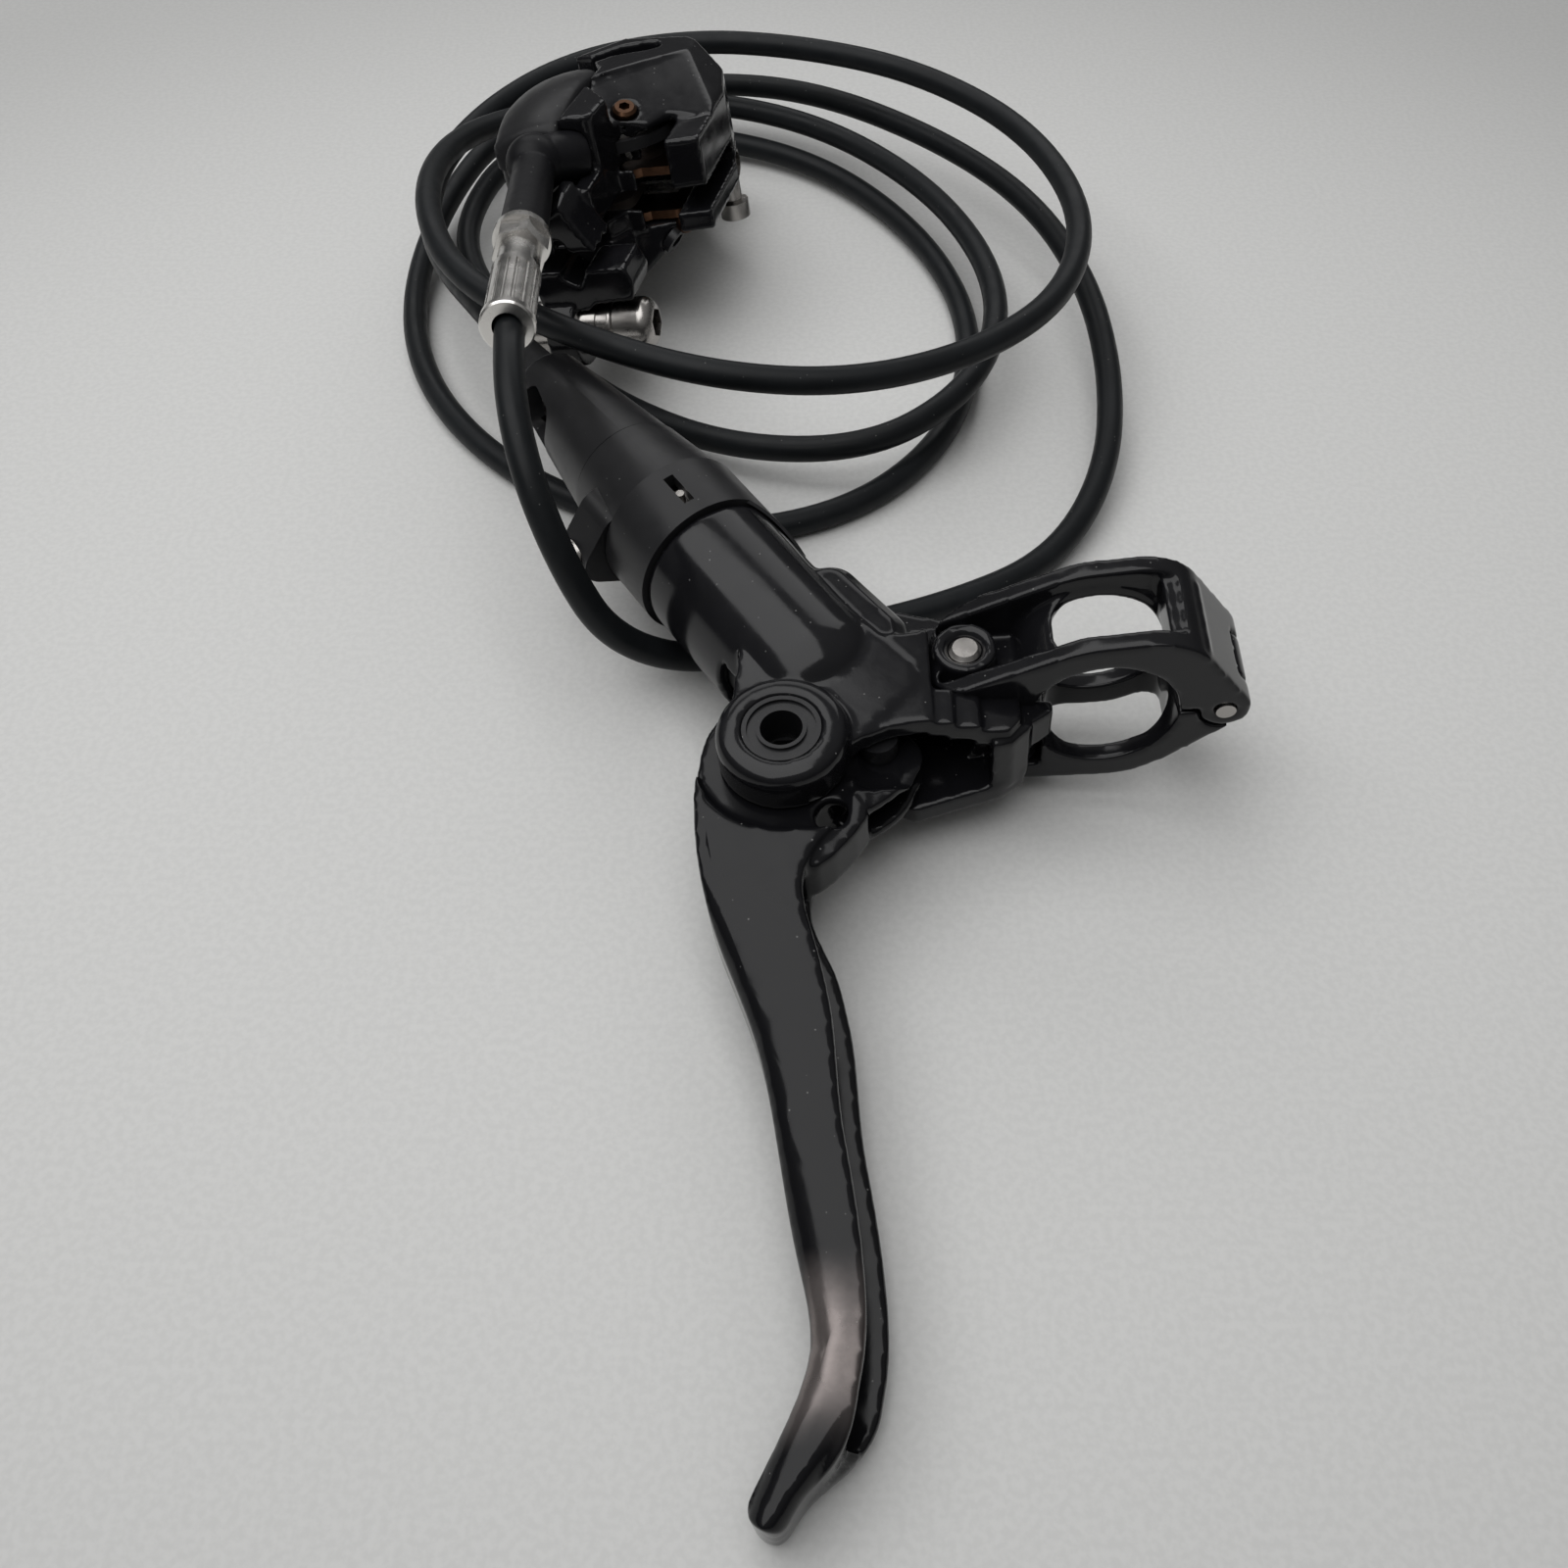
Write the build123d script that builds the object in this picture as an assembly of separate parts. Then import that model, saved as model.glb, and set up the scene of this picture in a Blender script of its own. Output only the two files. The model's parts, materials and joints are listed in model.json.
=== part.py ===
"""Bicycle hydraulic disc brake, lying on a surface: lever, hose in loose loops, and caliper.

Millimetres. +Z is up and the object lies on Z = 0. The lever is modelled in its own frame, with its
pivot axis on Z, the handlebar along Y and the bar side at +X. The caliper has its own frame too, with
the piston axis on Z, the mount bolts in line with Y and their heads towards +X.
"""
from build123d import *
import math
import os

# Poses on the surface: place, then turn about X, Y and Z
LEVER_AT = (0.5, 152.0, 16.28)
LEVER_TILT = (5.45, -4.5, 0)
CALIPER_AT = (-31.7, 306.3, 27.6)
CALIPER_YAW = -11
CALIPER_PITCH = -5
CALIPER_ROLL = -10

# Fits
RUNNING_GAP = 0.05
LOOSE_GAP = 0.3

# Handlebar clamp
BAR_DIAMETER = 22.2
CLAMP_WIDTH = 17.5
CLAMP_WALL = 4.6
CLAMP_RIM = 3.2
CLAMP_DISH = 2.6
UPPER_WINDOW = (17.0, 10.4)
UPPER_WINDOW_AT = 1.0
LOWER_WINDOW = (18.5, 11.0)
LOWER_WINDOW_AT = 1.5
WINDOW_CORNER = 3.6
PIVOT_TO_BAR = 47.9
CLAMP_INBOARD = 16.6
BOLT_REACH = 20.5
HINGE_REACH = 18.0
HINGE_KNUCKLE_DIAMETER = 7.6
HINGE_PIN_DIAMETER = 3.0
CLAMP_SPLIT = 0.3
CLAMP_TAB = 3.8
CLAMP_BOLT_DIAMETER = 5.0
CLAMP_BOLT_HEAD_DIAMETER = 8.5
CLAMP_BOLT_HEAD_HEIGHT = 3.2
CLAMP_BOSS_DIAMETER = 9.6
CLAMP_BOSS_HEIGHT = 7.6
ARM_NOSE = 2.0

# Lever pivot
PIVOT_EAR_DIAMETER = 19.6
PIVOT_EAR_TOP = 12.0
PIVOT_GAP = 9.6
PIVOT_PIN_DIAMETER = 7.0
PIVOT_PIN_HEAD_DIAMETER = 11.6
PIVOT_PIN_HEX = 5.0
PIVOT_PIN_MOUTH = 6.2
BUSHING_WALL = 1.0
HUB_SWING = 20.6

# Master cylinder barrel: its axis lies in the lever plane, beside the pivot
BARREL_ANGLE = 123.5
BARREL_OFFSET = 13.0
BARREL_DIAMETER = 24.6
BARREL_START = 3.0
BARREL_END = 42.3
BARREL_WALL = 2.0
BARREL_BORE = BARREL_DIAMETER - 2 * BARREL_WALL
RING_LENGTH = 12.0
RING_WALL = 2.4
RING_TAB_LENGTH = 9.0
SLOT_TURN = -2.0
SLOT_WIDTH_ROUND = 1.8
NUT_WIDTH = 4.8
SLEEVE_LENGTH = 13.8
SLEEVE_END_DIAMETER = 21.8
BLEED_SCREW_DIAMETER = 3.0
BLEED_HEAD_DIAMETER = 6.4
CAP_LENGTH = 30.9
CAP_START_DIAMETER = 21.4
CAP_SPIGOT_DIAMETER = 14.0
CAP_END_DIAMETER = 13.2

# Hydraulics inside the barrel
LINER_START = 15.0
LINER_END = 59.0
LINER_DIAMETER = BARREL_BORE * 0.73
PISTON_BORE = 10.0
PISTON_START = 17.0
PISTON_LENGTH = 15.0
SEAL_WIDTH = 2.0
PUSHROD_DIAMETER = 3.0
PUSHROD_BALL_DIAMETER = 4.2
PUSHROD_FOOT_DIAMETER = 4.6
PUSHROD_FOOT_HEIGHT = 2.0
SOCKET_DEPTH = 3.0
DOWEL_GAP = 0.12
DOWEL_RADIUS = 14.0
DOWEL_LAG = 22.0
DOWEL_DIAMETER = 6.0
SPRING_WIRE = 0.9
SPRING_TURNS = 5
SPRING_LENGTH = 18.0
SPRING_SEAT_GAP = 0.1
OUTLET_BORE = 4.0
PORT_PLACE = 37.0
PORT_DIAMETER = 1.5
BLADDER_WALL = 0.8

# Lever blade
BLADE_HEIGHT = 12.4
BLADE_WALL = 2.8
FLANGE = 2.4
HUB_DIAMETER = 25.0
WEB_HOLE_DIAMETER = 5.2

# Hose
HOSE_DIAMETER = 5.0
BOOT_LENGTH = 11.0
NUT_LENGTH = 9.0
NUT_ACROSS_FLATS = 8.0
OLIVE_DIAMETER = 6.6

# Caliper body
SLOT_WIDTH = 3.4
PAD_BAY = 12.0
UPPER_TOP = 19.0
LOWER_BOTTOM = -17.5
CALIPER_PISTON_DIAMETER = 22.0
CALIPER_PISTON_LENGTH = 6.2
CALIPER_PISTON_CUP = 15.0
CALIPER_SEAL_WIDTH = 2.2
CALIPER_SEAL_DEPTH = 1.6
CALIPER_SEAL_PLACE = 2.5
BODY_BOLTS = ((16.5, 14.0), (-15.5, -15.0))
BODY_BOLT_DIAMETER = 4.0
BODY_BOLT_HEAD_DIAMETER = 6.4
BODY_BOLT_SEAT = -13.5
PANEL_LEAN = 22.0
CALIPER_BLEED_DIAMETER = 3.0
CALIPER_BLEED_HEAD = 4.8
CALIPER_BLEED_DEPTH = 1.8
PLUG_DIAMETER = 6.0
PLUG_DEPTH = 1.2

# Plan outlines of the caliper halves, and end views of the mounting arms
UPPER_OUTLINE = (
    (-18.5, -22.0),
    (-20.5, -9.0),
    (-17.5, 5.5),
    (-11.0, 14.5),
    (-2.0, 19.5),
    (11.0, 20.0),
    (19.0, 15.0),
    (21.5, 3.0),
    (21.5, -5.0),
    (12.0, -6.0),
    (9.0, -10.0),
    (3.0, -10.5),
    (2.0, -22.0),
)
LOWER_OUTLINE = (
    (-18.0, -20.0),
    (-20.0, -8.0),
    (-17.0, 6.0),
    (-10.0, 15.0),
    (0.0, 19.5),
    (11.0, 20.0),
    (19.0, 15.0),
    (21.5, 4.0),
    (20.0, -4.0),
    (12.0, -12.0),
    (3.0, -15.0),
    (0.0, -20.0),
)
NEAR_ARM = (
    (-11.0, 7.0),
    (-8.0, 11.0),
    (-1.0, 11.5),
    (4.4, 1.6),
    (7.9, 1.6),
    (10.4, -5.5),
    (9.8, -8.4),
    (2.0, -8.8),
    (-2.6, -12.0),
    (-8.6, -12.0),
)
COVER_OUTLINE = (
    (-19.0, -22.5),
    (-20.9, -9.0),
    (-17.9, 5.8),
    (-12.0, 14.0),
    (-7.5, 12.0),
    (-3.5, 4.0),
    (-4.5, -22.5),
)
COVER_DEPTH = 4.4
COVER_RISE = 2.0
FAR_ARM = ((-12.0, -4.0), (6.0, -4.0), (9.0, -8.0), (-2.6, -14.0), (-8.6, -14.0))

# Pads
PAD_PLATE = 1.7
PAD_FRICTION = 2.0
PAD_GAP = 3.2
PAD_WIDTH = 26.0
PAD_HEIGHT = 20.0
PAD_PIN_DIAMETER = 2.4
PAD_PIN_AT = (11.0, PAD_WIDTH / 2 - 3.5)
PAD_PIN_REACH = 10.5
PAD_SPRING_LEAF = 0.5

# Mount bolts
MOUNT_SPACING = 74.2
MOUNT_DROP = 15.0
MOUNT_BOLT_DIAMETER = 6.0
MOUNT_HEAD_DIAMETER = 10.2
MOUNT_HEAD_LENGTH = 7.6
MOUNT_EAR_THICKNESS = 6.0
MOUNT_EAR_DIAMETER = 15.0
WASHER_DIAMETER = 10.6
WASHER_STACK = 7.0
MOUNT_BOLT_LENGTH = 22.0
MOUNT_SHANK_DIAMETER = 5.3
REAR_WASHER = 3.2
THREAD_START = -MOUNT_EAR_THICKNESS - REAR_WASHER - 0.6
WASHER_START_GAP = 2.6

# Elbow fitting and ferrule
ELBOW_DIAMETER = 8.8
ELBOW_WAIST = 7.8
ELBOW_BORE = 3.0
ELBOW_YAW = 14.0
FLANGE_DIAMETER = 10.2
FITTING_NUT_ACROSS_FLATS = 8.6
FITTING_NUT_LENGTH = 5.0
FERRULE_DIAMETER = 8.4
FERRULE_LENGTH = 19.0
FERRULE_FLUTES = 16
ELBOW_CENTRE = (-8.4, -28.0, 14.0)
ELBOW_SEAT = (-2.0, -20.5, 12.5)
ELBOW_HEAD_DIAMETER = 11.2
ELBOW_SEAT_DIAMETER = 9.4
FLANGE_START = 33.0
FITTING_THREAD_DIAMETER = 6.0
FERRULE_END = 67.0

# Route of the hose on the floor, from inside the ferrule to inside the lever's end cap
HOSE_ROUTE = (
    (-44.82, 232.48, 48.64),
    (-43.71, 210.69, 51.42),
    (-40.3, 191.2, 45.3),
    (-34.4, 182.0, 31.0),
    (-28.2, 181.4, 15.3),
    (-15.0, 187.2, 3.9),
    (4.0, 194.5, 2.6),
    (28.0, 202.0, 2.6),
    (49.0, 214.0, 2.8),
    (61.0, 235.0, 6.0),
    (65.0, 262.0, 9.0),
    (63.0, 290.0, 12.5),
    (54.0, 318.0, 14.5),
    (36.0, 343.0, 15.0),
    (10.0, 367.0, 14.0),
    (-16.0, 378.5, 11.5),
    (-46.0, 377.0, 9.0),
    (-68.0, 358.0, 9.0),
    (-77.5, 331.0, 6.5),
    (-80.5, 300.0, 3.5),
    (-75.0, 273.0, 2.6),
    (-62.0, 250.0, 2.6),
    (-42.0, 231.5, 2.6),
    (-13.0, 220.5, 2.6),
    (13.0, 228.0, 2.6),
    (31.0, 248.0, 2.6),
    (39.0, 274.0, 2.6),
    (38.0, 301.0, 2.8),
    (28.0, 328.0, 3.2),
    (10.0, 352.0, 3.6),
    (-13.0, 364.5, 4.0),
    (-42.0, 361.5, 7.5),
    (-63.0, 344.5, 11.5),
    (-71.0, 318.5, 9.0),
    (-66.0, 298.0, 7.0),
    (-51.5, 279.0, 4.5),
    (-33.0, 258.5, 4.0),
    (-10.0, 242.5, 6.0),
    (16.0, 238.5, 9.0),
    (34.5, 251.5, 11.5),
    (44.0, 275.0, 11.5),
    (43.0, 302.0, 11.0),
    (32.0, 331.5, 10.5),
    (11.0, 358.0, 10.0),
    (-15.0, 371.0, 10.0),
    (-41.0, 363.5, 13.5),
    (-58.5, 342.5, 21.5),
    (-70.5, 316.0, 29.0),
    (-71.5, 287.0, 33.0),
    (-61.5, 258.0, 33.5),
    (-39.5, 241.5, 32.5),
    (-14.0, 231.5, 30.5),
    (12.0, 231.0, 29.0),
    (36.0, 241.5, 28.5),
    (54.0, 261.5, 28.0),
    (60.5, 291.0, 28.0),
    (51.5, 324.5, 28.0),
    (30.0, 349.5, 28.0),
    (4.0, 363.5, 27.0),
    (-23.0, 370.0, 25.5),
    (-50.5, 363.0, 23.5),
    (-69.5, 343.0, 20.5),
    (-78.0, 319.0, 17.0),
    (-72.5, 294.0, 15.0),
    (-55.27, 260.01, 22.18),
    (-34.03, 227.81, 20.78),
)
CORNER_SHARE = 0.45

LEVER = Location(LEVER_AT) * Rot(*LEVER_TILT)
CALIPER = (
    Location(CALIPER_AT)
    * Rot(0, 0, CALIPER_YAW)
    * Rot(CALIPER_PITCH, 0, 0)
    * Rot(0, CALIPER_ROLL, 0)
)

# The barrel frame: X is the lever's up, Y is across towards the bar, Z runs inboard
ALONG = Vector(math.cos(math.radians(BARREL_ANGLE)), math.sin(math.radians(BARREL_ANGLE)), 0)
ACROSS = Vector(ALONG.Y, -ALONG.X, 0)
FOOT = ACROSS * BARREL_OFFSET
BARREL = Plane(origin=FOOT, x_dir=(0, 0, 1), z_dir=ALONG).location

STANDING = (Align.CENTER, Align.CENTER, Align.MIN)
BAR_RADIUS = BAR_DIAMETER / 2
CLAMP_RADIUS = BAR_RADIUS + CLAMP_WALL
BOLT_X = PIVOT_TO_BAR - BOLT_REACH
RING_START = BARREL_END + LOOSE_GAP
RING_END = RING_START + RING_LENGTH
SLEEVE_START = RING_END + LOOSE_GAP
SLEEVE_END = SLEEVE_START + SLEEVE_LENGTH
CAP_END = SLEEVE_END + CAP_LENGTH
EAR_INNER = PIVOT_GAP / 2
HUB_HEIGHT = PIVOT_GAP - 2 * LOOSE_GAP
SPRING_START = PISTON_START + PISTON_LENGTH
CLAMP_NEAR = CLAMP_INBOARD - CLAMP_WIDTH / 2
CLAMP_FAR = CLAMP_INBOARD + CLAMP_WIDTH / 2
ARM_TOP = -CLAMP_SPLIT
ARM_BOTTOM = -CLAMP_RADIUS + CLAMP_TAB
KNUCKLE_NEAR = CLAMP_NEAR + CLAMP_WIDTH * 0.27
KNUCKLE_FAR = CLAMP_FAR - CLAMP_WIDTH * 0.27
DOWEL_ANGLE = math.radians(BARREL_ANGLE - 90 - DOWEL_LAG)
DOWEL_POINT = Vector(math.cos(DOWEL_ANGLE), math.sin(DOWEL_ANGLE), 0) * DOWEL_RADIUS
DOWEL_S = DOWEL_POINT.dot(ALONG)
DOWEL_SIDE = DOWEL_POINT.dot(ACROSS) - BARREL_OFFSET
BLEED = Pos(-1, -17.0, SLEEVE_START + 4.5) * Rot(90, 0, 0)
CALIPER_BLEED = Pos(4.2, -7.5, 15.1) * Rot(0, 0, 39.4) * Rot(PANEL_LEAN, 0, 0)
PLUG_PLACE = Pos(10.4, -11.2, -10.2) * Rot(0, 0, -18) * Rot(0, 128, 0)
OUTLET = Pos(*ELBOW_CENTRE) * Rot(0, 0, ELBOW_YAW) * Rot(90, 0, 0)
FITTING_HEX_START = FLANGE_START + 2.2
FITTING_HEX_END = FITTING_HEX_START + FITTING_NUT_LENGTH
FERRULE_START = FERRULE_END - FERRULE_LENGTH


def rod(diameter, start, end):
    """A solid cylinder on Z between two heights."""
    return Pos(0, 0, start) * Cylinder(diameter / 2, end - start, align=STANDING)


def cone(first, last, start, end):
    """A solid cone on Z between two heights, from the first diameter to the last."""
    return Pos(0, 0, start) * Cone(first / 2, last / 2, end - start, align=STANDING)


def tube(outer, inner, start, end):
    """A hollow cylinder on Z between two heights."""
    return rod(outer, start, end) - rod(inner, start - 1, end + 1)


def hex_rod(across_flats, start, end):
    """A hexagonal prism on Z between two heights."""
    profile = RegularPolygon(across_flats / 2, 6, major_radius=False)
    return along_z(profile, start, end)


def block(x0, x1, y0, y1, z0, z1):
    """A box between two corners."""
    size = Box(x1 - x0, y1 - y0, z1 - z0, align=(Align.MIN, Align.MIN, Align.MIN))
    return Pos(x0, y0, z0) * size


def along_z(profile, bottom, top):
    """A prism along Z from a profile drawn in X and Y."""
    return extrude(Pos(0, 0, bottom) * profile, top - bottom, dir=(0, 0, 1))


def along_y(profile, near, far):
    """A prism along Y from a profile drawn in X and Z."""
    return extrude(Plane.XZ.offset(-near) * profile, far - near, dir=(0, 1, 0))


def hull(circles, bottom, top):
    """A plate whose outline wraps the given circles, each given as x, y, radius."""
    edges = []
    for x, y, radius in circles:
        edges += (Pos(x, y, 0) * Circle(radius)).edges()
    return along_z(make_hull(edges), bottom, top)


def on_barrel(s, across=0.0, up=0.0):
    """Lever-frame point at distance s along the barrel axis."""
    return FOOT + ALONG * s + ACROSS * across + Vector(0, 0, up)


def bar_cylinder(diameter, start, end):
    """A cylinder on the handlebar axis, between two places along it."""
    turned = Rot(-90, 0, 0) * rod(diameter, start, end)
    return Pos(PIVOT_TO_BAR, 0, 0) * turned


def master_body():
    """Casting with the barrel, the two pivot ears and the arm to the clamp."""
    barrel = rod(BARREL_DIAMETER, BARREL_START, BARREL_END)
    barrel = BARREL * fillet(barrel.edges().sort_by(Axis.Z)[:1], BARREL_DIAMETER * 0.36)
    ear = PIVOT_EAR_DIAMETER / 2
    body = barrel
    root = on_barrel(15)
    for side in (1, -1):
        disc = rod(PIVOT_EAR_DIAMETER, EAR_INNER, PIVOT_EAR_TOP)
        disc = fillet(disc.edges().sort_by(Axis.Z)[-1:], 2.2)
        web = hull([(0, 0, ear - 1.5), (root.X, root.Y, 9), (16, 11, 4)], EAR_INNER, PIVOT_EAR_TOP - 3.2)
        if side == -1:
            disc = mirror(disc, Plane.XY)
            web = mirror(web, Plane.XY)
        body += disc + web
    corner = 4.0
    arm_x = PIVOT_TO_BAR - BAR_RADIUS + ARM_NOSE - corner
    arm = hull(
        [
            (13, 7, corner),
            (8, 30, corner),
            (arm_x, CLAMP_NEAR + corner, corner),
            (arm_x, CLAMP_FAR - corner, corner),
        ],
        ARM_BOTTOM,
        ARM_TOP,
    )
    shoulder = hull([(12, 9, 5), (7, 31, 5), (16, 12, 4), (15, 22, 4)], ARM_TOP - 1, PIVOT_EAR_TOP - 4)
    shoulder = chamfer(shoulder.edges().group_by(Axis.Z)[-1], 2.5)
    body += arm + shoulder
    body -= rod(2 * HUB_SWING, -EAR_INNER, EAR_INNER)
    body -= BARREL * rod(BARREL_BORE, LINER_START, BARREL_END + 1)
    body -= BARREL * rod(LINER_DIAMETER - 4, BARREL_START - 6, BARREL_END)
    mouth = Plane.XZ.offset(4) * Pos(20, -3.2) * Ellipse(8.5, 5.6)
    body -= extrude(mouth, -24)
    body -= bar_cylinder(BAR_DIAMETER, -20, 60)
    body -= Pos(BOLT_X, CLAMP_INBOARD, 0) * rod(CLAMP_BOLT_DIAMETER + 2 * LOOSE_GAP, -20, 20)
    body -= rod(PIVOT_PIN_DIAMETER + 2 * RUNNING_GAP, -20, 20)
    head = PIVOT_PIN_HEAD_DIAMETER + 2 * RUNNING_GAP
    body -= rod(head, PIVOT_EAR_TOP - 2.5, PIVOT_EAR_TOP + 1)
    body -= rod(head, -PIVOT_EAR_TOP - 1, -PIVOT_EAR_TOP + 2.5)
    pocket = Polygon((22.5, 21), (26, 23.5), (25.5, 18.5), align=None)
    body -= extrude(Pos(0, 0, ARM_TOP - 3) * pocket, 10)
    return body


def pivot_pin():
    """Hollow pivot axle with a flanged head and a hexagon through its middle."""
    pin = rod(PIVOT_PIN_DIAMETER, -PIVOT_EAR_TOP + 2.5, PIVOT_EAR_TOP - 2.5)
    pin += rod(PIVOT_PIN_HEAD_DIAMETER, PIVOT_EAR_TOP - 2.5, PIVOT_EAR_TOP - 0.4)
    pin -= hex_rod(PIVOT_PIN_HEX, -20, 20)
    pin -= rod(PIVOT_PIN_MOUTH, PIVOT_EAR_TOP - 7, PIVOT_EAR_TOP + 1)
    pin -= tube(PIVOT_PIN_HEAD_DIAMETER - 1.4, PIVOT_PIN_MOUTH + 1.2, PIVOT_EAR_TOP - 0.9, PIVOT_EAR_TOP)
    return pin


def pivot_cap():
    """Screwed cap that holds the axle from below."""
    cap = rod(PIVOT_PIN_HEAD_DIAMETER, -PIVOT_EAR_TOP + 0.4, -PIVOT_EAR_TOP + 2.5)
    cap -= rod(PIVOT_PIN_HEX + 1, -20, 0)
    return cap


def pivot_bushings():
    """Two plastic bushings between the axle and the lever hub."""
    inner = PIVOT_PIN_DIAMETER + 2 * RUNNING_GAP
    upper = tube(PIVOT_PIN_DIAMETER + 2 * BUSHING_WALL, inner, 0.4, HUB_HEIGHT / 2)
    return [upper, mirror(upper, Plane.XY)]


def blade_outline():
    """Plan outline of the lever: hub, web with the pushrod lobe, and the two-finger blade."""
    hub = HUB_DIAMETER / 2
    finger_side = Spline(
        (-hub, 2),
        (-12.9, -13.3),
        (-10.1, -27.8),
        (-4.3, -44.3),
        (1.4, -74.4),
        (2.8, -84.5),
        (-1.4, -95.5),
        (-4.3, -101.0),
    )
    tip = Spline((-4.3, -101.0), (-1.6, -104.6), (3.2, -99.6), tangents=((-0.3, -1), (0.75, 0.66)))
    bar_side = Spline(
        (3.2, -99.6),
        (10.1, -88.8),
        (10.9, -76.0),
        (7.4, -49.7),
        (4.0, -31.0),
        (2.6, -22.0),
        (6.4, -14.0),
        (15.5, -7.6),
        (20.0 - 0.8, -2.0),
    )
    lobe_edge = Spline(
        (19.2, -2.0),
        (18.6, 4.8),
        (12.0, 8.2),
        (3.0, hub - 0.6),
        tangents=((0.7, 0.7), (-1, 0.1)),
    )
    hub_arc = ThreePointArc((3.0, hub - 0.6), (-7.6, 9.9), (-hub, 2))
    return make_face([finger_side, tip, bar_side, lobe_edge, hub_arc])


def lever_blade():
    """Forged lever: a channel section open towards the bar, with a hub and a thin web."""
    outline = blade_outline()
    full = along_z(outline, -BLADE_HEIGHT / 2, BLADE_HEIGHT / 2)
    thin_z = HUB_HEIGHT / 2
    hub_zone = hull([(0, 0, HUB_DIAMETER / 2 + 0.8), (16, -4, 9.5), (12, 6, 8)], thin_z, BLADE_HEIGHT)
    full -= hub_zone
    full -= mirror(hub_zone, Plane.XY)
    channel_half = BLADE_HEIGHT / 2 - FLANGE
    channel = along_z(Pos(BLADE_WALL + 0.6, 0, 0) * outline, -channel_half, channel_half)
    channel += Pos(6, 0, 0) * channel
    channel &= block(-20, 40, -95, -20, -20, 20)
    full -= channel
    inner_half = thin_z - FLANGE + 0.4
    full -= block(4, 30, -19, 20, -inner_half, inner_half) - rod(20, -20, 20)
    full -= rod(PIVOT_PIN_DIAMETER + 2 * BUSHING_WALL, -20, 20)
    full -= Pos(DOWEL_POINT) * rod(DOWEL_DIAMETER, -20, 20)
    full -= Pos(6.8, -10.6, 0) * rod(WEB_HOLE_DIAMETER, -20, 20)
    return full


def pushrod_dowel():
    """Cross dowel in the lever web that the pushrod bears on."""
    return Pos(DOWEL_POINT) * rod(DOWEL_DIAMETER, -HUB_HEIGHT / 2, HUB_HEIGHT / 2)


def pushrod():
    """Pushrod with a flat foot on the dowel and a ball in the piston's socket."""
    start = DOWEL_S + DOWEL_DIAMETER / 2 + DOWEL_GAP
    shaft = rod(PUSHROD_DIAMETER, start, PISTON_START + SOCKET_DEPTH)
    foot = rod(PUSHROD_FOOT_DIAMETER, start, start + PUSHROD_FOOT_HEIGHT)
    ball = Pos(0, 0, PISTON_START + SOCKET_DEPTH) * Sphere(PUSHROD_BALL_DIAMETER / 2)
    return BARREL * (shaft + foot + ball)


def cylinder_liner():
    """Master cylinder sleeve with its compensating ports and the shoulder the spring rests on."""
    shoulder = SPRING_START + SPRING_LENGTH + SPRING_SEAT_GAP
    liner = rod(LINER_DIAMETER, LINER_START, LINER_END)
    liner -= rod(PISTON_BORE, LINER_START - 1, shoulder)
    liner -= rod(OUTLET_BORE, shoulder - 1, LINER_END + 1)
    for turn in (0, 120, 240):
        port = Rot(0, 0, turn) * Pos(0, 0, PORT_PLACE) * Rot(0, 90, 0) * rod(PORT_DIAMETER, 3, 12)
        liner -= port
    return BARREL * liner


def master_piston():
    """Master piston with two seal grooves and a socket for the pushrod."""
    piston = rod(PISTON_BORE - 2 * RUNNING_GAP, PISTON_START, SPRING_START)
    for start in seal_places():
        piston -= tube(PISTON_BORE + 2, PISTON_BORE - 3.2, start, start + SEAL_WIDTH)
    piston -= rod(PUSHROD_DIAMETER + 2, PISTON_START - 1, PISTON_START + SOCKET_DEPTH)
    piston -= Pos(0, 0, PISTON_START + SOCKET_DEPTH) * Sphere(PUSHROD_BALL_DIAMETER / 2 + LOOSE_GAP)
    return BARREL * piston


def seal_places():
    """Start of each master seal along the barrel."""
    return (PISTON_START + 7, SPRING_START - 3.5)


def master_seals():
    """The primary and secondary seals on the master piston."""
    return [
        BARREL * tube(PISTON_BORE - 2 * RUNNING_GAP, PISTON_BORE - 3.2, start, start + SEAL_WIDTH)
        for start in seal_places()
    ]


def return_spring():
    """Coil spring that pushes the master piston back."""
    radius = PISTON_BORE / 2 - SPRING_WIRE / 2 - 0.5
    height = SPRING_LENGTH - SPRING_WIRE
    path = Helix(pitch=height / SPRING_TURNS, height=height, radius=radius)
    section = Plane(origin=path @ 0, z_dir=path % 0) * Circle(SPRING_WIRE / 2)
    coil = sweep(section, path)
    return BARREL * Pos(0, 0, SPRING_START + SPRING_WIRE / 2 + SPRING_SEAT_GAP / 2) * coil


def reservoir_bladder():
    """Rubber bladder around the cylinder that takes up the fluid's change of volume."""
    outer = BARREL_BORE - 2 * RUNNING_GAP
    bladder = tube(outer, outer - 2 * BLADDER_WALL, LINER_START + 2, BARREL_END - 2)
    return BARREL * bladder


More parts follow.
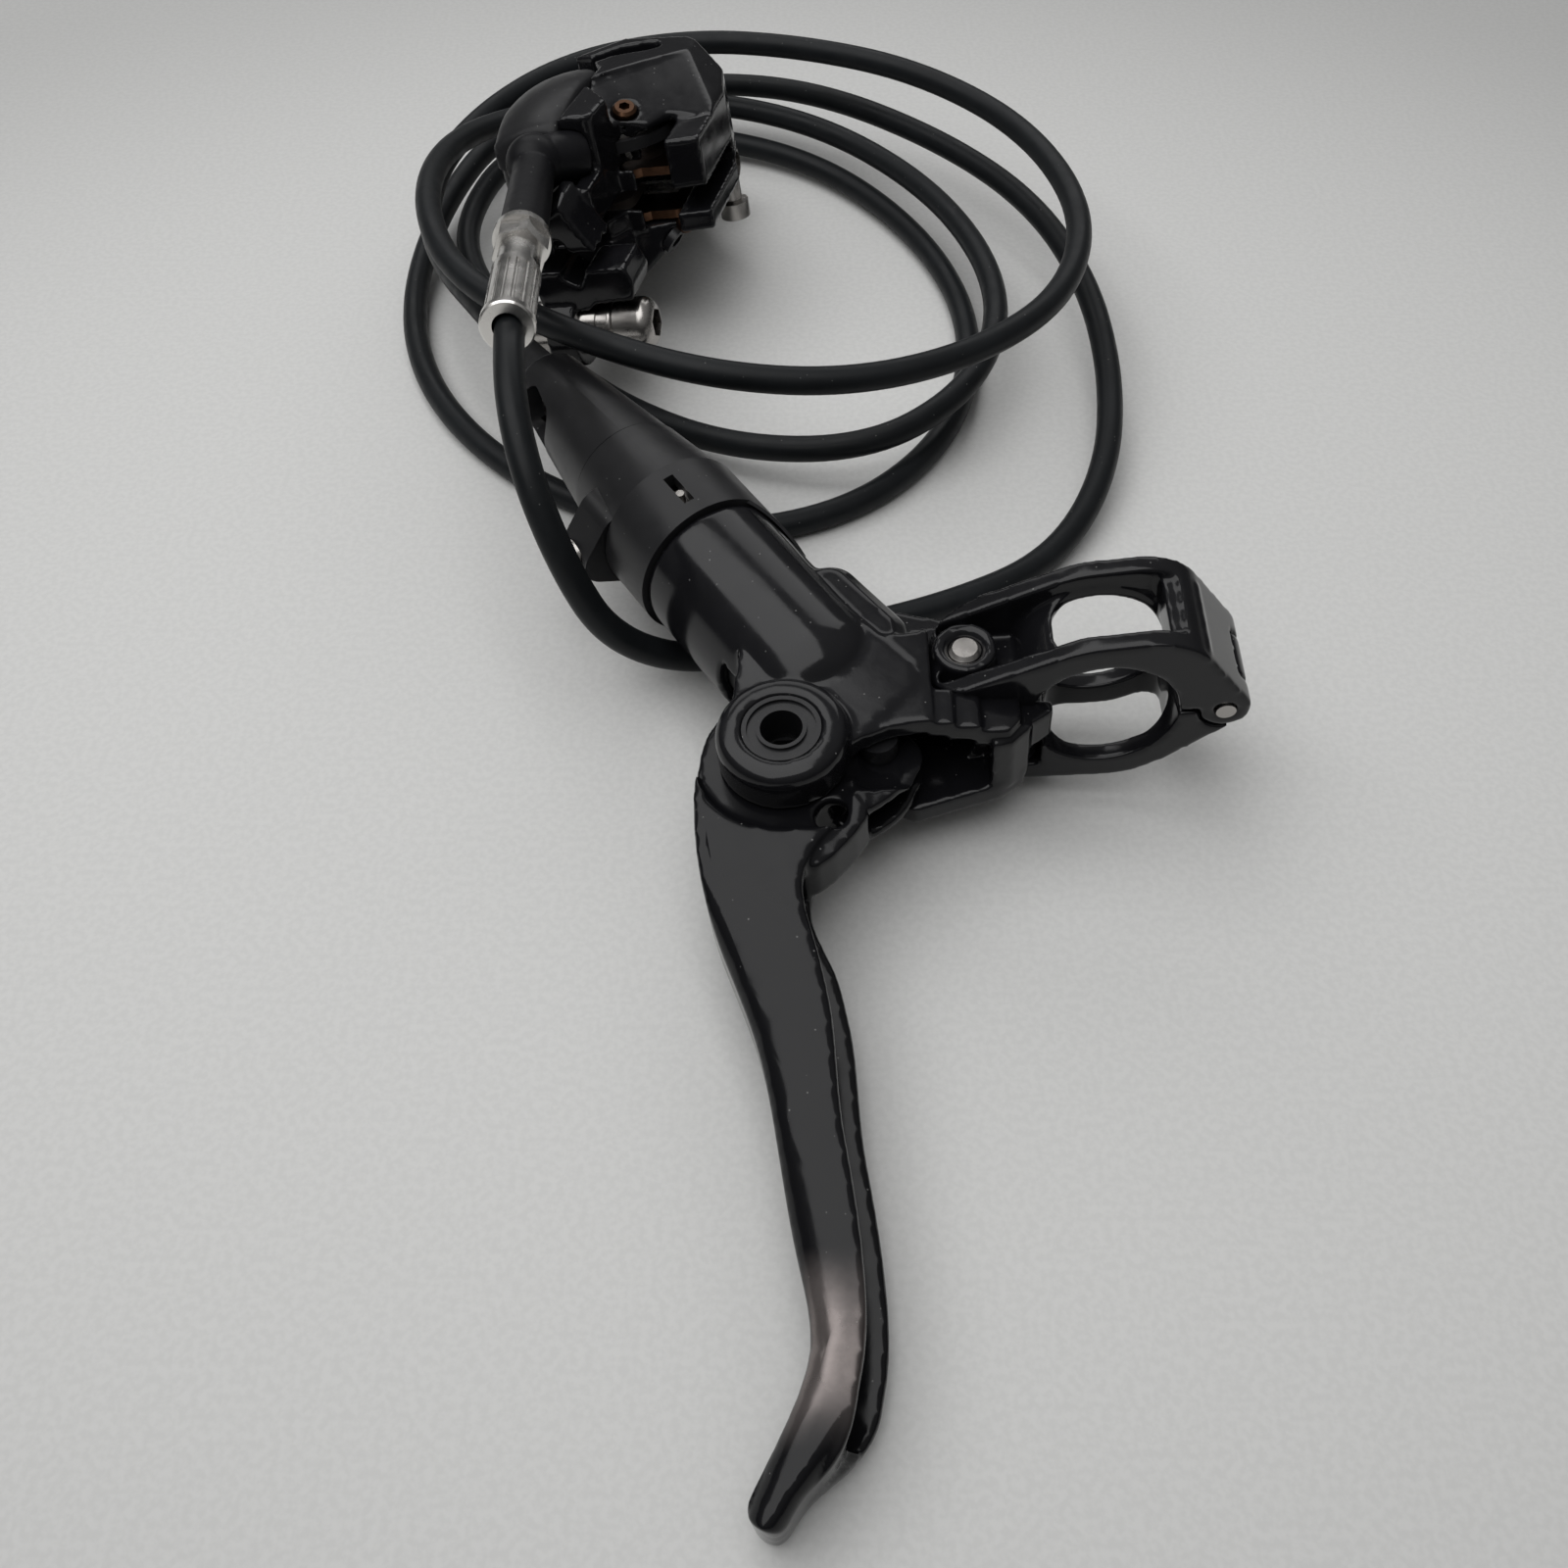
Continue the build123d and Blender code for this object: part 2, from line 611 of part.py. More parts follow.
def contact_ring():
    """Contact adjust ring with an indicator slot and a thumb tab that lies over the barrel."""
    outer = BARREL_DIAMETER + 1.6
    inner = outer - 2 * RING_WALL
    ring = tube(outer, inner, RING_START, RING_END)
    tab = tube(outer, BARREL_DIAMETER + 2 * LOOSE_GAP, RING_START - RING_TAB_LENGTH, RING_START + 1)
    tab_end = RING_START - RING_TAB_LENGTH
    base = RING_START + 1
    wedge = Polygon((-10.5, base), (10.5, base), (1.5, tab_end), (-1.5, tab_end), align=None)
    wedge = extrude(Plane.XZ * wedge, 30)
    tab &= wedge
    ring += tab
    half = SLOT_WIDTH_ROUND / 2
    slot = block(inner / 2 - 1, outer / 2 + 1, -half, half, RING_START + 2.8, RING_END - 2.4)
    return BARREL * (ring - Rot(0, 0, SLOT_TURN) * slot)


def adjuster_nut():
    """Nut inside the contact ring, keyed to its slot by an indicator pin."""
    outer = BARREL_DIAMETER + 1.6 - 2 * RING_WALL - 2 * RUNNING_GAP
    middle = RING_START + RING_LENGTH / 2
    nut = tube(outer, LINER_DIAMETER + 2 * RUNNING_GAP, middle - NUT_WIDTH / 2, middle + NUT_WIDTH / 2)
    pin = Rot(0, 0, SLOT_TURN) * Pos(outer / 2 - 1, 0, middle) * Rot(0, 90, 0) * rod(SLOT_WIDTH_ROUND - 0.4, 0, 2.6)
    return BARREL * (nut + pin)


def bleed_sleeve():
    """Tapered sleeve behind the ring, with the boss of the bleed screw on its left side."""
    sleeve = cone(BARREL_DIAMETER + 0.8, SLEEVE_END_DIAMETER, SLEEVE_START, SLEEVE_END)
    lug = hull([(-1, -13, 4.2), (3, -9, 4.6), (-3, -9, 4.6)], SLEEVE_START, SLEEVE_START + 9)
    lug = chamfer(lug.edges().filter_by(Axis.Z, reverse=True).group_by(Axis.Z)[-1], 1.2)
    sleeve += lug
    sleeve -= rod(LINER_DIAMETER + 2 * RUNNING_GAP, SLEEVE_START - 1, LINER_END + LOOSE_GAP)
    sleeve -= rod(PISTON_BORE, SLEEVE_START, SLEEVE_END - 4)
    sleeve -= rod(CAP_SPIGOT_DIAMETER + 2 * RUNNING_GAP, SLEEVE_END - 5, SLEEVE_END + 1)
    sleeve -= BLEED * rod(BLEED_SCREW_DIAMETER, -7, 1)
    sleeve -= BLEED * rod(BLEED_HEAD_DIAMETER + 2 * LOOSE_GAP, -0.6, 3)
    return BARREL * sleeve


def bleed_screw():
    """Button-head screw that closes the lever's bleed port."""
    head = Pos(0, 0, -0.6) * rod(BLEED_HEAD_DIAMETER, 0, 2.2)
    head = fillet(head.edges().sort_by(Axis.Z)[-1:], 1.2)
    screw = head + rod(BLEED_SCREW_DIAMETER, -6, 0)
    screw -= hex_rod(2.6, 0.4, 3)
    return BARREL * BLEED * screw


def hose_cap():
    """End cap that the hose screws into, with a window over the hose nut."""
    cap = cone(CAP_START_DIAMETER, CAP_END_DIAMETER, SLEEVE_END + LOOSE_GAP, CAP_END)
    cap = fillet(cap.edges().sort_by(Axis.Z)[-1:], 1.6)
    cap += rod(CAP_SPIGOT_DIAMETER, SLEEVE_END - 4, SLEEVE_END + 2)
    cap -= rod(HOSE_DIAMETER + 2 * RUNNING_GAP, CAP_END - 8, CAP_END + 1)
    cap -= rod(NUT_ACROSS_FLATS * 1.1547 + 1.2, CAP_END - 6 - NUT_LENGTH - 2, CAP_END - 5)
    cap -= rod(3, SLEEVE_END - 5, CAP_END)
    window = Pos(1.5, -6, CAP_END - 9.5) * Box(9, 9, 11)
    cap -= fillet(window.edges().filter_by(Axis.Y), 3)
    return BARREL * cap


def hose_nut():
    """Hexagonal hose nut inside the end cap."""
    base = CAP_END - 6 - NUT_LENGTH
    nut = hex_rod(NUT_ACROSS_FLATS, base, base + NUT_LENGTH)
    nut -= rod(HOSE_DIAMETER + 2 * RUNNING_GAP, base - 1, base + NUT_LENGTH + 1)
    return BARREL * nut


def clamp_profile(side):
    """Side view of one clamp half about the handlebar axis, before its bore is cut."""
    ring = Circle(CLAMP_RADIUS)
    knuckle = Pos(HINGE_REACH, 0) * Circle(HINGE_KNUCKLE_DIAMETER / 2)
    if side > 0:
        nose = Pos(-BOLT_REACH - 2.5, 3.2) * Circle(3.4)
        crown = Pos(6, 6) * Circle(CLAMP_RADIUS - 5.4)
        shape = make_hull(ring.edges() + knuckle.edges() + nose.edges() + crown.edges())
    else:
        nose = Pos(-BOLT_REACH - 4, -CLAMP_RADIUS + CLAMP_TAB / 2) * Circle(CLAMP_TAB / 2)
        shape = make_hull(ring.edges() + knuckle.edges() + nose.edges())
    keep = Pos(0, side * (25 + CLAMP_SPLIT)) * Rectangle(100, 50)
    cut = Circle(BAR_RADIUS)
    if side < 0:
        arm_gap = Pos(-60 - BAR_RADIUS + ARM_NOSE, 0) * Rectangle(120, 2 * (CLAMP_RADIUS - CLAMP_TAB))
        cut = cut + arm_gap
    return (shape & keep) - cut


def clamp_solid(profile, near, far):
    """A clamp profile given its width between two places along the bar."""
    return Pos(PIVOT_TO_BAR, 0, 0) * along_y(profile, near, far)


def knuckle_zone(near, far):
    """The space round the hinge that a knuckle of the other half turns in."""
    zone = Rot(-90, 0, 0) * rod(HINGE_KNUCKLE_DIAMETER + 2 * LOOSE_GAP, near, far)
    return Pos(PIVOT_TO_BAR + HINGE_REACH, 0, 0) * zone


def knuckle(near, far):
    """One hinge knuckle."""
    barrel = Rot(-90, 0, 0) * rod(HINGE_KNUCKLE_DIAMETER, near, far)
    return Pos(PIVOT_TO_BAR + HINGE_REACH, 0, 0) * barrel


def hinge_bore():
    """Hole for the hinge pin."""
    bore = Rot(-90, 0, 0) * rod(HINGE_PIN_DIAMETER, CLAMP_NEAR - 1, CLAMP_FAR + 1)
    return Pos(PIVOT_TO_BAR + HINGE_REACH, 0, 0) * bore


def clamp_upper():
    """Upper clamp half: a dished band with raised rims, a window and the bolt boss."""
    half = clamp_solid(clamp_profile(1), CLAMP_NEAR, CLAMP_FAR)
    dish = clamp_solid(clamp_profile(1), CLAMP_NEAR + CLAMP_RIM, CLAMP_FAR - CLAMP_RIM)
    dish -= bar_cylinder(2 * (CLAMP_RADIUS - CLAMP_DISH), -20, 60)
    dish -= block(-40, PIVOT_TO_BAR - BAR_RADIUS, -20, 60, -20, 3)
    dish &= block(BOLT_X - 4, PIVOT_TO_BAR + HINGE_REACH - 7, -20, 60, -20, 60)
    half -= dish
    boss = Pos(BOLT_X, CLAMP_INBOARD, 0) * rod(CLAMP_BOSS_DIAMETER, CLAMP_SPLIT, CLAMP_BOSS_HEIGHT)
    half += boss
    window = fillet(Rectangle(*UPPER_WINDOW).vertices(), WINDOW_CORNER)
    window = extrude(Pos(PIVOT_TO_BAR + UPPER_WINDOW_AT, CLAMP_INBOARD, 4) * window, 20)
    half -= window
    half += knuckle(CLAMP_NEAR, KNUCKLE_NEAR - LOOSE_GAP) + knuckle(KNUCKLE_FAR + LOOSE_GAP, CLAMP_FAR)
    half -= bar_cylinder(BAR_DIAMETER, -20, 60)
    half -= knuckle_zone(KNUCKLE_NEAR - LOOSE_GAP, KNUCKLE_FAR + LOOSE_GAP)
    half -= hinge_bore()
    half -= Pos(BOLT_X, CLAMP_INBOARD, 0) * rod(CLAMP_BOLT_DIAMETER, -20, 20)
    half -= Pos(BOLT_X, CLAMP_INBOARD, 0) * rod(CLAMP_BOLT_DIAMETER + 1.4, CLAMP_BOSS_HEIGHT - 0.8, 20)
    return half


def clamp_lower():
    """Lower clamp half: a windowed band, the middle knuckle and the tab under the arm."""
    half = clamp_solid(clamp_profile(-1), CLAMP_NEAR, CLAMP_FAR)
    half += knuckle(KNUCKLE_NEAR, KNUCKLE_FAR)
    window = fillet(Rectangle(*LOWER_WINDOW).vertices(), WINDOW_CORNER)
    window = Pos(PIVOT_TO_BAR + LOWER_WINDOW_AT, CLAMP_INBOARD, -20) * window
    half -= extrude(window, 18)
    half -= bar_cylinder(BAR_DIAMETER, -20, 60)
    half -= knuckle_zone(CLAMP_NEAR - 1, KNUCKLE_NEAR)
    half -= knuckle_zone(KNUCKLE_FAR, CLAMP_FAR + 1)
    half -= hinge_bore()
    half -= Pos(BOLT_X, CLAMP_INBOARD, 0) * rod(CLAMP_BOLT_DIAMETER + 2 * LOOSE_GAP, -20, 20)
    return half


def clamp_bolt():
    """Clamp bolt, put in from below and threaded into the boss of the upper half."""
    seat = -CLAMP_RADIUS
    bolt = rod(CLAMP_BOLT_DIAMETER, seat, CLAMP_BOSS_HEIGHT - 0.3)
    bolt = chamfer(bolt.edges().sort_by(Axis.Z)[-1:], 0.6)
    head = rod(CLAMP_BOLT_HEAD_DIAMETER, seat - CLAMP_BOLT_HEAD_HEIGHT, seat)
    bolt += fillet(head.edges().sort_by(Axis.Z)[:1], 0.8)
    bolt -= hex_rod(4, seat - CLAMP_BOLT_HEAD_HEIGHT - 1, seat - 0.8)
    return Pos(BOLT_X, CLAMP_INBOARD, 0) * bolt


def hinge_pin():
    """Pin of the clamp hinge."""
    pin = Rot(-90, 0, 0) * rod(HINGE_PIN_DIAMETER, CLAMP_NEAR - 0.2, CLAMP_FAR + 0.2)
    return Pos(PIVOT_TO_BAR + HINGE_REACH, 0, 0) * pin


def caliper_core():
    """Space that both caliper halves leave free: rotor slot, pad bay and its window."""
    slot = block(-40, 14.5, -60, 60, -SLOT_WIDTH / 2, SLOT_WIDTH / 2)
    bay = block(-16, 14.5, -PAD_WIDTH / 2 - 0.9, PAD_WIDTH / 2 + 0.4, -PAD_BAY / 2, PAD_BAY / 2)
    near = block(4.0, 9.0, -29.5, 0, -PAD_BAY / 2, PAD_BAY / 2)
    window = block(6.5, 40, -20, 7.0, -PAD_BAY / 2, PAD_BAY / 2 + 5.5)
    return slot + bay + near + window


def piston_cavity(side):
    """Bore of one caliper piston with its seal groove."""
    reach = PAD_BAY / 2 + CALIPER_PISTON_LENGTH + 0.8
    bore = rod(CALIPER_PISTON_DIAMETER + 2 * RUNNING_GAP, 0, reach)
    groove_start = PAD_BAY / 2 + CALIPER_SEAL_PLACE
    groove_diameter = CALIPER_PISTON_DIAMETER + 2 * CALIPER_SEAL_DEPTH
    cavity = bore + rod(groove_diameter, groove_start, groove_start + CALIPER_SEAL_WIDTH)
    return cavity if side > 0 else mirror(cavity, Plane.XY)


def outer_profile():
    """End view of both jaws, in X and Z."""
    points = (
        (-21.0, 12.0),
        (-16.0, UPPER_TOP - 0.5),
        (-2.0, UPPER_TOP + 1.0),
        (13.0, UPPER_TOP),
        (20.5, 12.5),
        (21.5, 6.0),
        (21.0, -1.5),
        (15.5, -6.0),
        (4.0, -15.5),
        (-1.0, LOWER_BOTTOM),
        (-15.0, LOWER_BOTTOM),
        (-20.0, -12.0),
    )
    profile = fillet(Polygon(*points, align=None).vertices(), 1.6)
    return along_y(profile, -30, 30)


def soft_plate(outline, bottom, top, radius):
    """A plate with rounded outline corners."""
    profile = fillet(Polygon(*outline, align=None).vertices(), radius)
    return along_z(profile, bottom, top)


def near_arm():
    """The block in front of the near end, which the rotor slot divides between the halves."""
    arm = along_y(fillet(Polygon(*NEAR_ARM, align=None).vertices(), 0.9), -41.0, -30.0)
    window = Polygon((-3.6, 6.0), (1.6, -1.5), (-0.2, -5.0), (-3.6, -3.0), align=None)
    return arm - along_y(fillet(window.vertices(), 0.8), -42, -28)


def caliper_outboard():
    """Outboard half: a hooded shell over the outer piston, with the elbow's guard at its near end."""
    half = soft_plate(UPPER_OUTLINE, 0, 40, 1.8)
    half &= outer_profile()
    half += near_arm() & block(-40, 40, -60, 0, SLOT_WIDTH / 2, 40)
    half += block(-1.5, 2.0, -31.0, -21.0, SLOT_WIDTH / 2, 9.5)
    panel = Location((5.5, 6.0, UPPER_TOP), (0, 0, 39.4)) * Rot(PANEL_LEAN, 0, 0)
    half -= panel * block(-14, 40, -40, 0, 0, 30)
    pocket = Pos(-0.5, 13.0, UPPER_TOP - 5) * Rot(0, 0, 24) * extrude(SlotOverall(15, 4.4), 12)
    half -= pocket
    half -= caliper_core()
    half -= piston_cavity(1)
    for x, y in BODY_BOLTS:
        half -= Pos(x, y, 0) * rod(BODY_BOLT_DIAMETER, -1, 9)
    half -= CALIPER_BLEED * rod(CALIPER_BLEED_DIAMETER, -CALIPER_BLEED_DEPTH, 12)
    half -= CALIPER_BLEED * rod(CALIPER_BLEED_HEAD + 2 * LOOSE_GAP, -1.0, 12)
    half -= elbow_room()
    half -= caliper_cover()
    half -= pad_pin_hole()
    return half


def caliper_bleed_screw():
    """Screw in the caliper's bleed port."""
    screw = rod(CALIPER_BLEED_DIAMETER, -CALIPER_BLEED_DEPTH, 0) + rod(CALIPER_BLEED_HEAD, -1.0, 1.0)
    screw = chamfer(screw.edges().sort_by(Axis.Z)[-1:], 0.5)
    screw -= hex_rod(2.0, -0.2, 4)
    return CALIPER_BLEED * screw


def ear_place(side):
    """Place of a mounting ear's bolt, for side -1 near and +1 far."""
    return Pos(-WASHER_START_GAP, side * MOUNT_SPACING / 2, -MOUNT_DROP) * Rot(0, 90, 0)


def caliper_inboard():
    """Inboard half with both mounting ears."""
    half = soft_plate(LOWER_OUTLINE, -40, 0, 1.8)
    half &= outer_profile()
    near_web = hull([(-8, -33, 4), (2, -34, 3), (-14, -17, 3), (0, -16, 3)], -12, -6.2)
    far_arm = along_y(fillet(Polygon(*FAR_ARM, align=None).vertices(), 0.9), 30.0, 41.0)
    far_web = hull([(-8, 33, 4), (2, 34, 3), (-14, 12, 3), (12, 14, 3)], -13, -4)
    half += near_arm() & block(-40, 40, -60, 0, -40, -SLOT_WIDTH / 2)
    half += near_web + far_arm + far_web
    for side in (-1, 1):
        place = ear_place(side)
        half += place * rod(MOUNT_EAR_DIAMETER, -MOUNT_EAR_THICKNESS, 0)
        half -= place * rod(MOUNT_BOLT_DIAMETER + 1.6, -40, 40)
        half -= place * rod(WASHER_DIAMETER + 1.5, 0, 40)
        half -= place * rod(WASHER_DIAMETER + 1.5, -40, -MOUNT_EAR_THICKNESS)
    half -= elbow_room()
    half -= pad_pin_hole()
    half -= caliper_core()
    half -= piston_cavity(-1)
    for x, y in BODY_BOLTS:
        half -= Pos(x, y, 0) * rod(BODY_BOLT_DIAMETER + 2 * RUNNING_GAP, -30, 1)
        half -= Pos(x, y, 0) * rod(BODY_BOLT_HEAD_DIAMETER + 0.8, -30, BODY_BOLT_SEAT)
    half -= PLUG_PLACE * rod(PLUG_DIAMETER, -PLUG_DEPTH, 8)
    return half


def bore_plug():
    """Hexagon-socket plug that closes the cross drilling of the inboard half."""
    plug = rod(PLUG_DIAMETER, -PLUG_DEPTH, 0.4) - hex_rod(3.0, -0.8, 1)
    return PLUG_PLACE * plug


def body_bolts():
    """Two bolts that join the caliper halves, put in from the inboard side."""
    bolts = []
    for x, y in BODY_BOLTS:
        bolt = rod(BODY_BOLT_DIAMETER, BODY_BOLT_SEAT, 8.5)
        bolt += rod(BODY_BOLT_HEAD_DIAMETER, BODY_BOLT_SEAT - 3.4, BODY_BOLT_SEAT)
        bolt -= hex_rod(3.0, BODY_BOLT_SEAT - 5, BODY_BOLT_SEAT - 1.4)
        bolts.append(Pos(x, y, 0) * bolt)
    return bolts


def elbow_room():
    """Space that the body and cover leave free round the elbow's head and seat."""
    seat, reach = elbow_seat_axis()
    room = Pos(*ELBOW_CENTRE) * Sphere(ELBOW_HEAD_DIAMETER / 2 + LOOSE_GAP)
    room += seat * rod(ELBOW_SEAT_DIAMETER, 0, reach)
    return room + OUTLET * rod(ELBOW_DIAMETER + 1 + 2 * LOOSE_GAP, 0, FLANGE_START)


def caliper_cover():
    """Satin cover plate on the outboard half, hollowed round the elbow."""
    cover = soft_plate(COVER_OUTLINE, UPPER_TOP - COVER_DEPTH, UPPER_TOP + COVER_RISE, 2.0)
    cover = fillet(cover.edges().group_by(Axis.Z)[-1], 1.4)
    return cover - elbow_room()


def caliper_piston():
    """Cup-shaped caliper piston, outboard side."""
    start = PAD_GAP / 2 + PAD_FRICTION + PAD_PLATE
    end = PAD_BAY / 2 + CALIPER_PISTON_LENGTH
    piston = rod(CALIPER_PISTON_DIAMETER, start, end)
    piston = fillet(piston.edges().sort_by(Axis.Z)[-1:], 0.8)
    piston -= rod(CALIPER_PISTON_CUP, start - 1, start + 5)
    return piston


def caliper_seal():
    """Square-section seal in its groove, outboard side."""
    start = PAD_BAY / 2 + CALIPER_SEAL_PLACE
    outer = CALIPER_PISTON_DIAMETER + 2 * CALIPER_SEAL_DEPTH
    return tube(outer, CALIPER_PISTON_DIAMETER + 2 * RUNNING_GAP, start, start + CALIPER_SEAL_WIDTH)


def pad_outline():
    """Outline of a brake pad's backing plate, with the toothed near end."""
    half = PAD_WIDTH / 2
    plate = Rectangle(PAD_HEIGHT, PAD_WIDTH)
    plate = fillet(plate.vertices(), 4)
    plate += Pos(PAD_HEIGHT / 2 - 0.3, 0) * fillet(Rectangle(11, PAD_WIDTH - 2).vertices(), 1.5)
    for step in range(3):
        plate += Pos(1.5 + 2.4 * step, -half + 0.2) * Rectangle(1.3, 1.6)
    return plate


def pad_plate():
    """Backing plate of the outboard pad."""
    start = PAD_GAP / 2 + PAD_FRICTION
    plate = along_z(Pos(-2.0, 0, 0) * pad_outline(), start, start + PAD_PLATE)
    return plate - Pos(*PAD_PIN_AT, 0) * rod(PAD_PIN_DIAMETER + 2 * LOOSE_GAP, 0, 20)


def pad_pin():
    """Pin through both halves that the pads hang on."""
    pin = Pos(*PAD_PIN_AT, 0) * rod(PAD_PIN_DIAMETER, -PAD_PIN_REACH, PAD_PIN_REACH)
    return chamfer(pin.edges().filter_by(GeomType.CIRCLE), 0.4)


def pad_pin_hole():
    """Hole for the pad pin in both halves."""
    return Pos(*PAD_PIN_AT, 0) * rod(PAD_PIN_DIAMETER, -PAD_PIN_REACH - 10, PAD_PIN_REACH)


def pad_friction():
    """Friction block of the outboard pad."""
    start = PAD_GAP / 2
    block_outline = fillet(Rectangle(PAD_HEIGHT - 6, PAD_WIDTH - 3).vertices(), 4)
    return along_z(Pos(-4.5, 0, 0) * block_outline, start, start + PAD_FRICTION)


def pad_spring():
    """Leaf spring folded between the two pads and held by the pad pin."""
    gap = PAD_GAP / 2 - LOOSE_GAP
    inner_gap = gap - PAD_SPRING_LEAF
    outer = Polygon((5.0, -gap), (12.0, -gap), (13.6, 0), (12.0, gap), (5.0, gap), align=None)
    inner = Polygon(
        (4.0, -inner_gap), (11.8, -inner_gap), (12.9, 0), (11.8, inner_gap), (4.0, inner_gap), align=None
    )
    return along_y(outer - inner, -9.0, 12.0) - Pos(*PAD_PIN_AT, 0) * rod(PAD_PIN_DIAMETER + 0.2, -5, 5)


def mount_bolt():
    """One mount bolt with a domed head."""
    seat = WASHER_STACK
    bolt = rod(MOUNT_BOLT_DIAMETER, seat - MOUNT_BOLT_LENGTH, THREAD_START)
    bolt = chamfer(bolt.edges().sort_by(Axis.Z)[:1], 0.6)
    bolt += rod(MOUNT_SHANK_DIAMETER, THREAD_START, seat)
    head = rod(MOUNT_HEAD_DIAMETER, seat, seat + MOUNT_HEAD_LENGTH)
    bolt += fillet(head.edges().sort_by(Axis.Z)[-1:], 2.6)
    bolt -= hex_rod(5.0, seat + 2.2, seat + MOUNT_HEAD_LENGTH + 1)
    return bolt


def mount_washers():
    """Pair of conical and spherical washers on each side of the ear."""
    bore = MOUNT_BOLT_DIAMETER + 2 * LOOSE_GAP
    half = WASHER_STACK / 2
    cup = tube(WASHER_DIAMETER, bore, 0, half)
    ball = rod(WASHER_DIAMETER - 0.8, half + 0.1, WASHER_STACK)
    ball = fillet(ball.edges().sort_by(Axis.Z)[-1:], 1.2) - rod(bore, 0, 20)
    rear = tube(WASHER_DIAMETER, bore, -MOUNT_EAR_THICKNESS - REAR_WASHER, -MOUNT_EAR_THICKNESS)
    return [cup, ball, rear]


def elbow_seat_axis():
    """Frame whose Z runs from the elbow's bend into the outboard half."""
    start = Vector(*ELBOW_CENTRE)
    end = Vector(*ELBOW_SEAT)
    return Plane(origin=start, z_dir=end - start).location, (end - start).length


def elbow():
    """Moulded elbow that turns the hose from the caliper towards the lever."""
    seat, reach = elbow_seat_axis()
    body = OUTLET * Sphere(ELBOW_HEAD_DIAMETER / 2)
    body += seat * rod(ELBOW_SEAT_DIAMETER, 0, reach)
    body += OUTLET * cone(ELBOW_WAIST, ELBOW_DIAMETER, 0, FLANGE_START)
    body -= OUTLET * rod(ELBOW_BORE, -0.6, FLANGE_START + 1) + seat * rod(ELBOW_BORE, -0.6, reach + 1)
    body -= OUTLET * rod(FITTING_THREAD_DIAMETER, FLANGE_START - 8, FLANGE_START + 1)
    return body


def hose_fitting():
    """Plated fitting: flange, hexagon, neck and the thread in the elbow."""
    fitting = rod(FLANGE_DIAMETER, FLANGE_START, FITTING_HEX_START)
    fitting = chamfer(fitting.edges().sort_by(Axis.Z)[:1], 0.4)
    fitting += hex_rod(FITTING_NUT_ACROSS_FLATS, FITTING_HEX_START, FITTING_HEX_END)
    fitting += rod(FERRULE_DIAMETER - 1.0, FITTING_HEX_END, FERRULE_START)
    fitting += rod(FITTING_THREAD_DIAMETER, FLANGE_START - 8, FLANGE_START)
    fitting -= rod(ELBOW_BORE, FLANGE_START - 9, FERRULE_START + 1)
    return OUTLET * fitting


def ferrule():
    """Crimped, fluted ferrule on the hose, with a rolled lip at its end."""
    sleeve = rod(FERRULE_DIAMETER, FERRULE_START, FERRULE_END - 1.2)
    for turn in range(FERRULE_FLUTES):
        flute = Rot(0, 0, turn * 360 / FERRULE_FLUTES) * Pos(FERRULE_DIAMETER / 2 + 0.25, 0, 0)
        sleeve -= flute * rod(0.9, FERRULE_START + 2.0, FERRULE_END - 1.6)
    sleeve += rod(FERRULE_DIAMETER + 0.7, FERRULE_END - 1.6, FERRULE_END)
    sleeve = chamfer(sleeve.edges().filter_by(GeomType.CIRCLE).group_by(Axis.Z)[-1], 0.3)
    sleeve -= rod(HOSE_DIAMETER, FERRULE_START + 2.0, FERRULE_END + 1)
    sleeve -= rod(ELBOW_BORE, FERRULE_START - 1, FERRULE_END)
    return OUTLET * sleeve


def caliper_pieces():
    """Every caliper node by name, in the caliper's own frame."""
    pieces = {
        "caliper_outboard": caliper_outboard(),
        "caliper_inboard": caliper_inboard(),
        "caliper_cover": caliper_cover(),
        "body_bolts": body_bolts(),
        "caliper_bleed_screw": caliper_bleed_screw(),
        "bore_plug": bore_plug(),
        "piston_outboard": caliper_piston(),
        "piston_inboard": mirror(caliper_piston(), Plane.XY),
        "seal_outboard": caliper_seal(),
        "seal_inboard": mirror(caliper_seal(), Plane.XY),
        "plate_outboard": pad_plate(),
        "plate_inboard": mirror(pad_plate(), Plane.XY),
        "friction_outboard": pad_friction(),
        "friction_inboard": mirror(pad_friction(), Plane.XY),
        "pad_pin": pad_pin(),
        "pad_spring": pad_spring(),
        "elbow": elbow(),
        "hose_fitting": hose_fitting(),
        "ferrule": ferrule(),
    }
    for side, word in ((-1, "near"), (1, "far")):
        place = ear_place(side)
        pieces["mount_bolt_" + word] = place * mount_bolt()
        pieces["mount_washers_" + word] = [place * piece for piece in mount_washers()]
    return pieces


def hose_path():
    """Straight runs joined by arcs as large as the runs allow."""
    points = [Vector(*point) for point in HOSE_ROUTE]
    radii = []
    for before, corner, after in zip(points, points[1:], points[2:]):
        turn = (corner - before).get_angle(after - corner)
        run = min((corner - before).length, (after - corner).length)
        radii.append(CORNER_SHARE * run / math.tan(math.radians(turn / 2)))
    return FilletPolyline(*points, radius=radii), radii


def hose():
    """The hydraulic hose."""
    path, radii = hose_path()
    section = Plane(origin=path @ 0, z_dir=path % 0) * Circle(HOSE_DIAMETER / 2)
    tube_solid = sweep(section, path)
    print("hose length", round(path.length, 1))
    print("least radii", [round(radius, 1) for radius in sorted(radii)[:6]])
    print("hose volume", round(tube_solid.volume), "of", round(section.area * path.length))
    return tube_solid


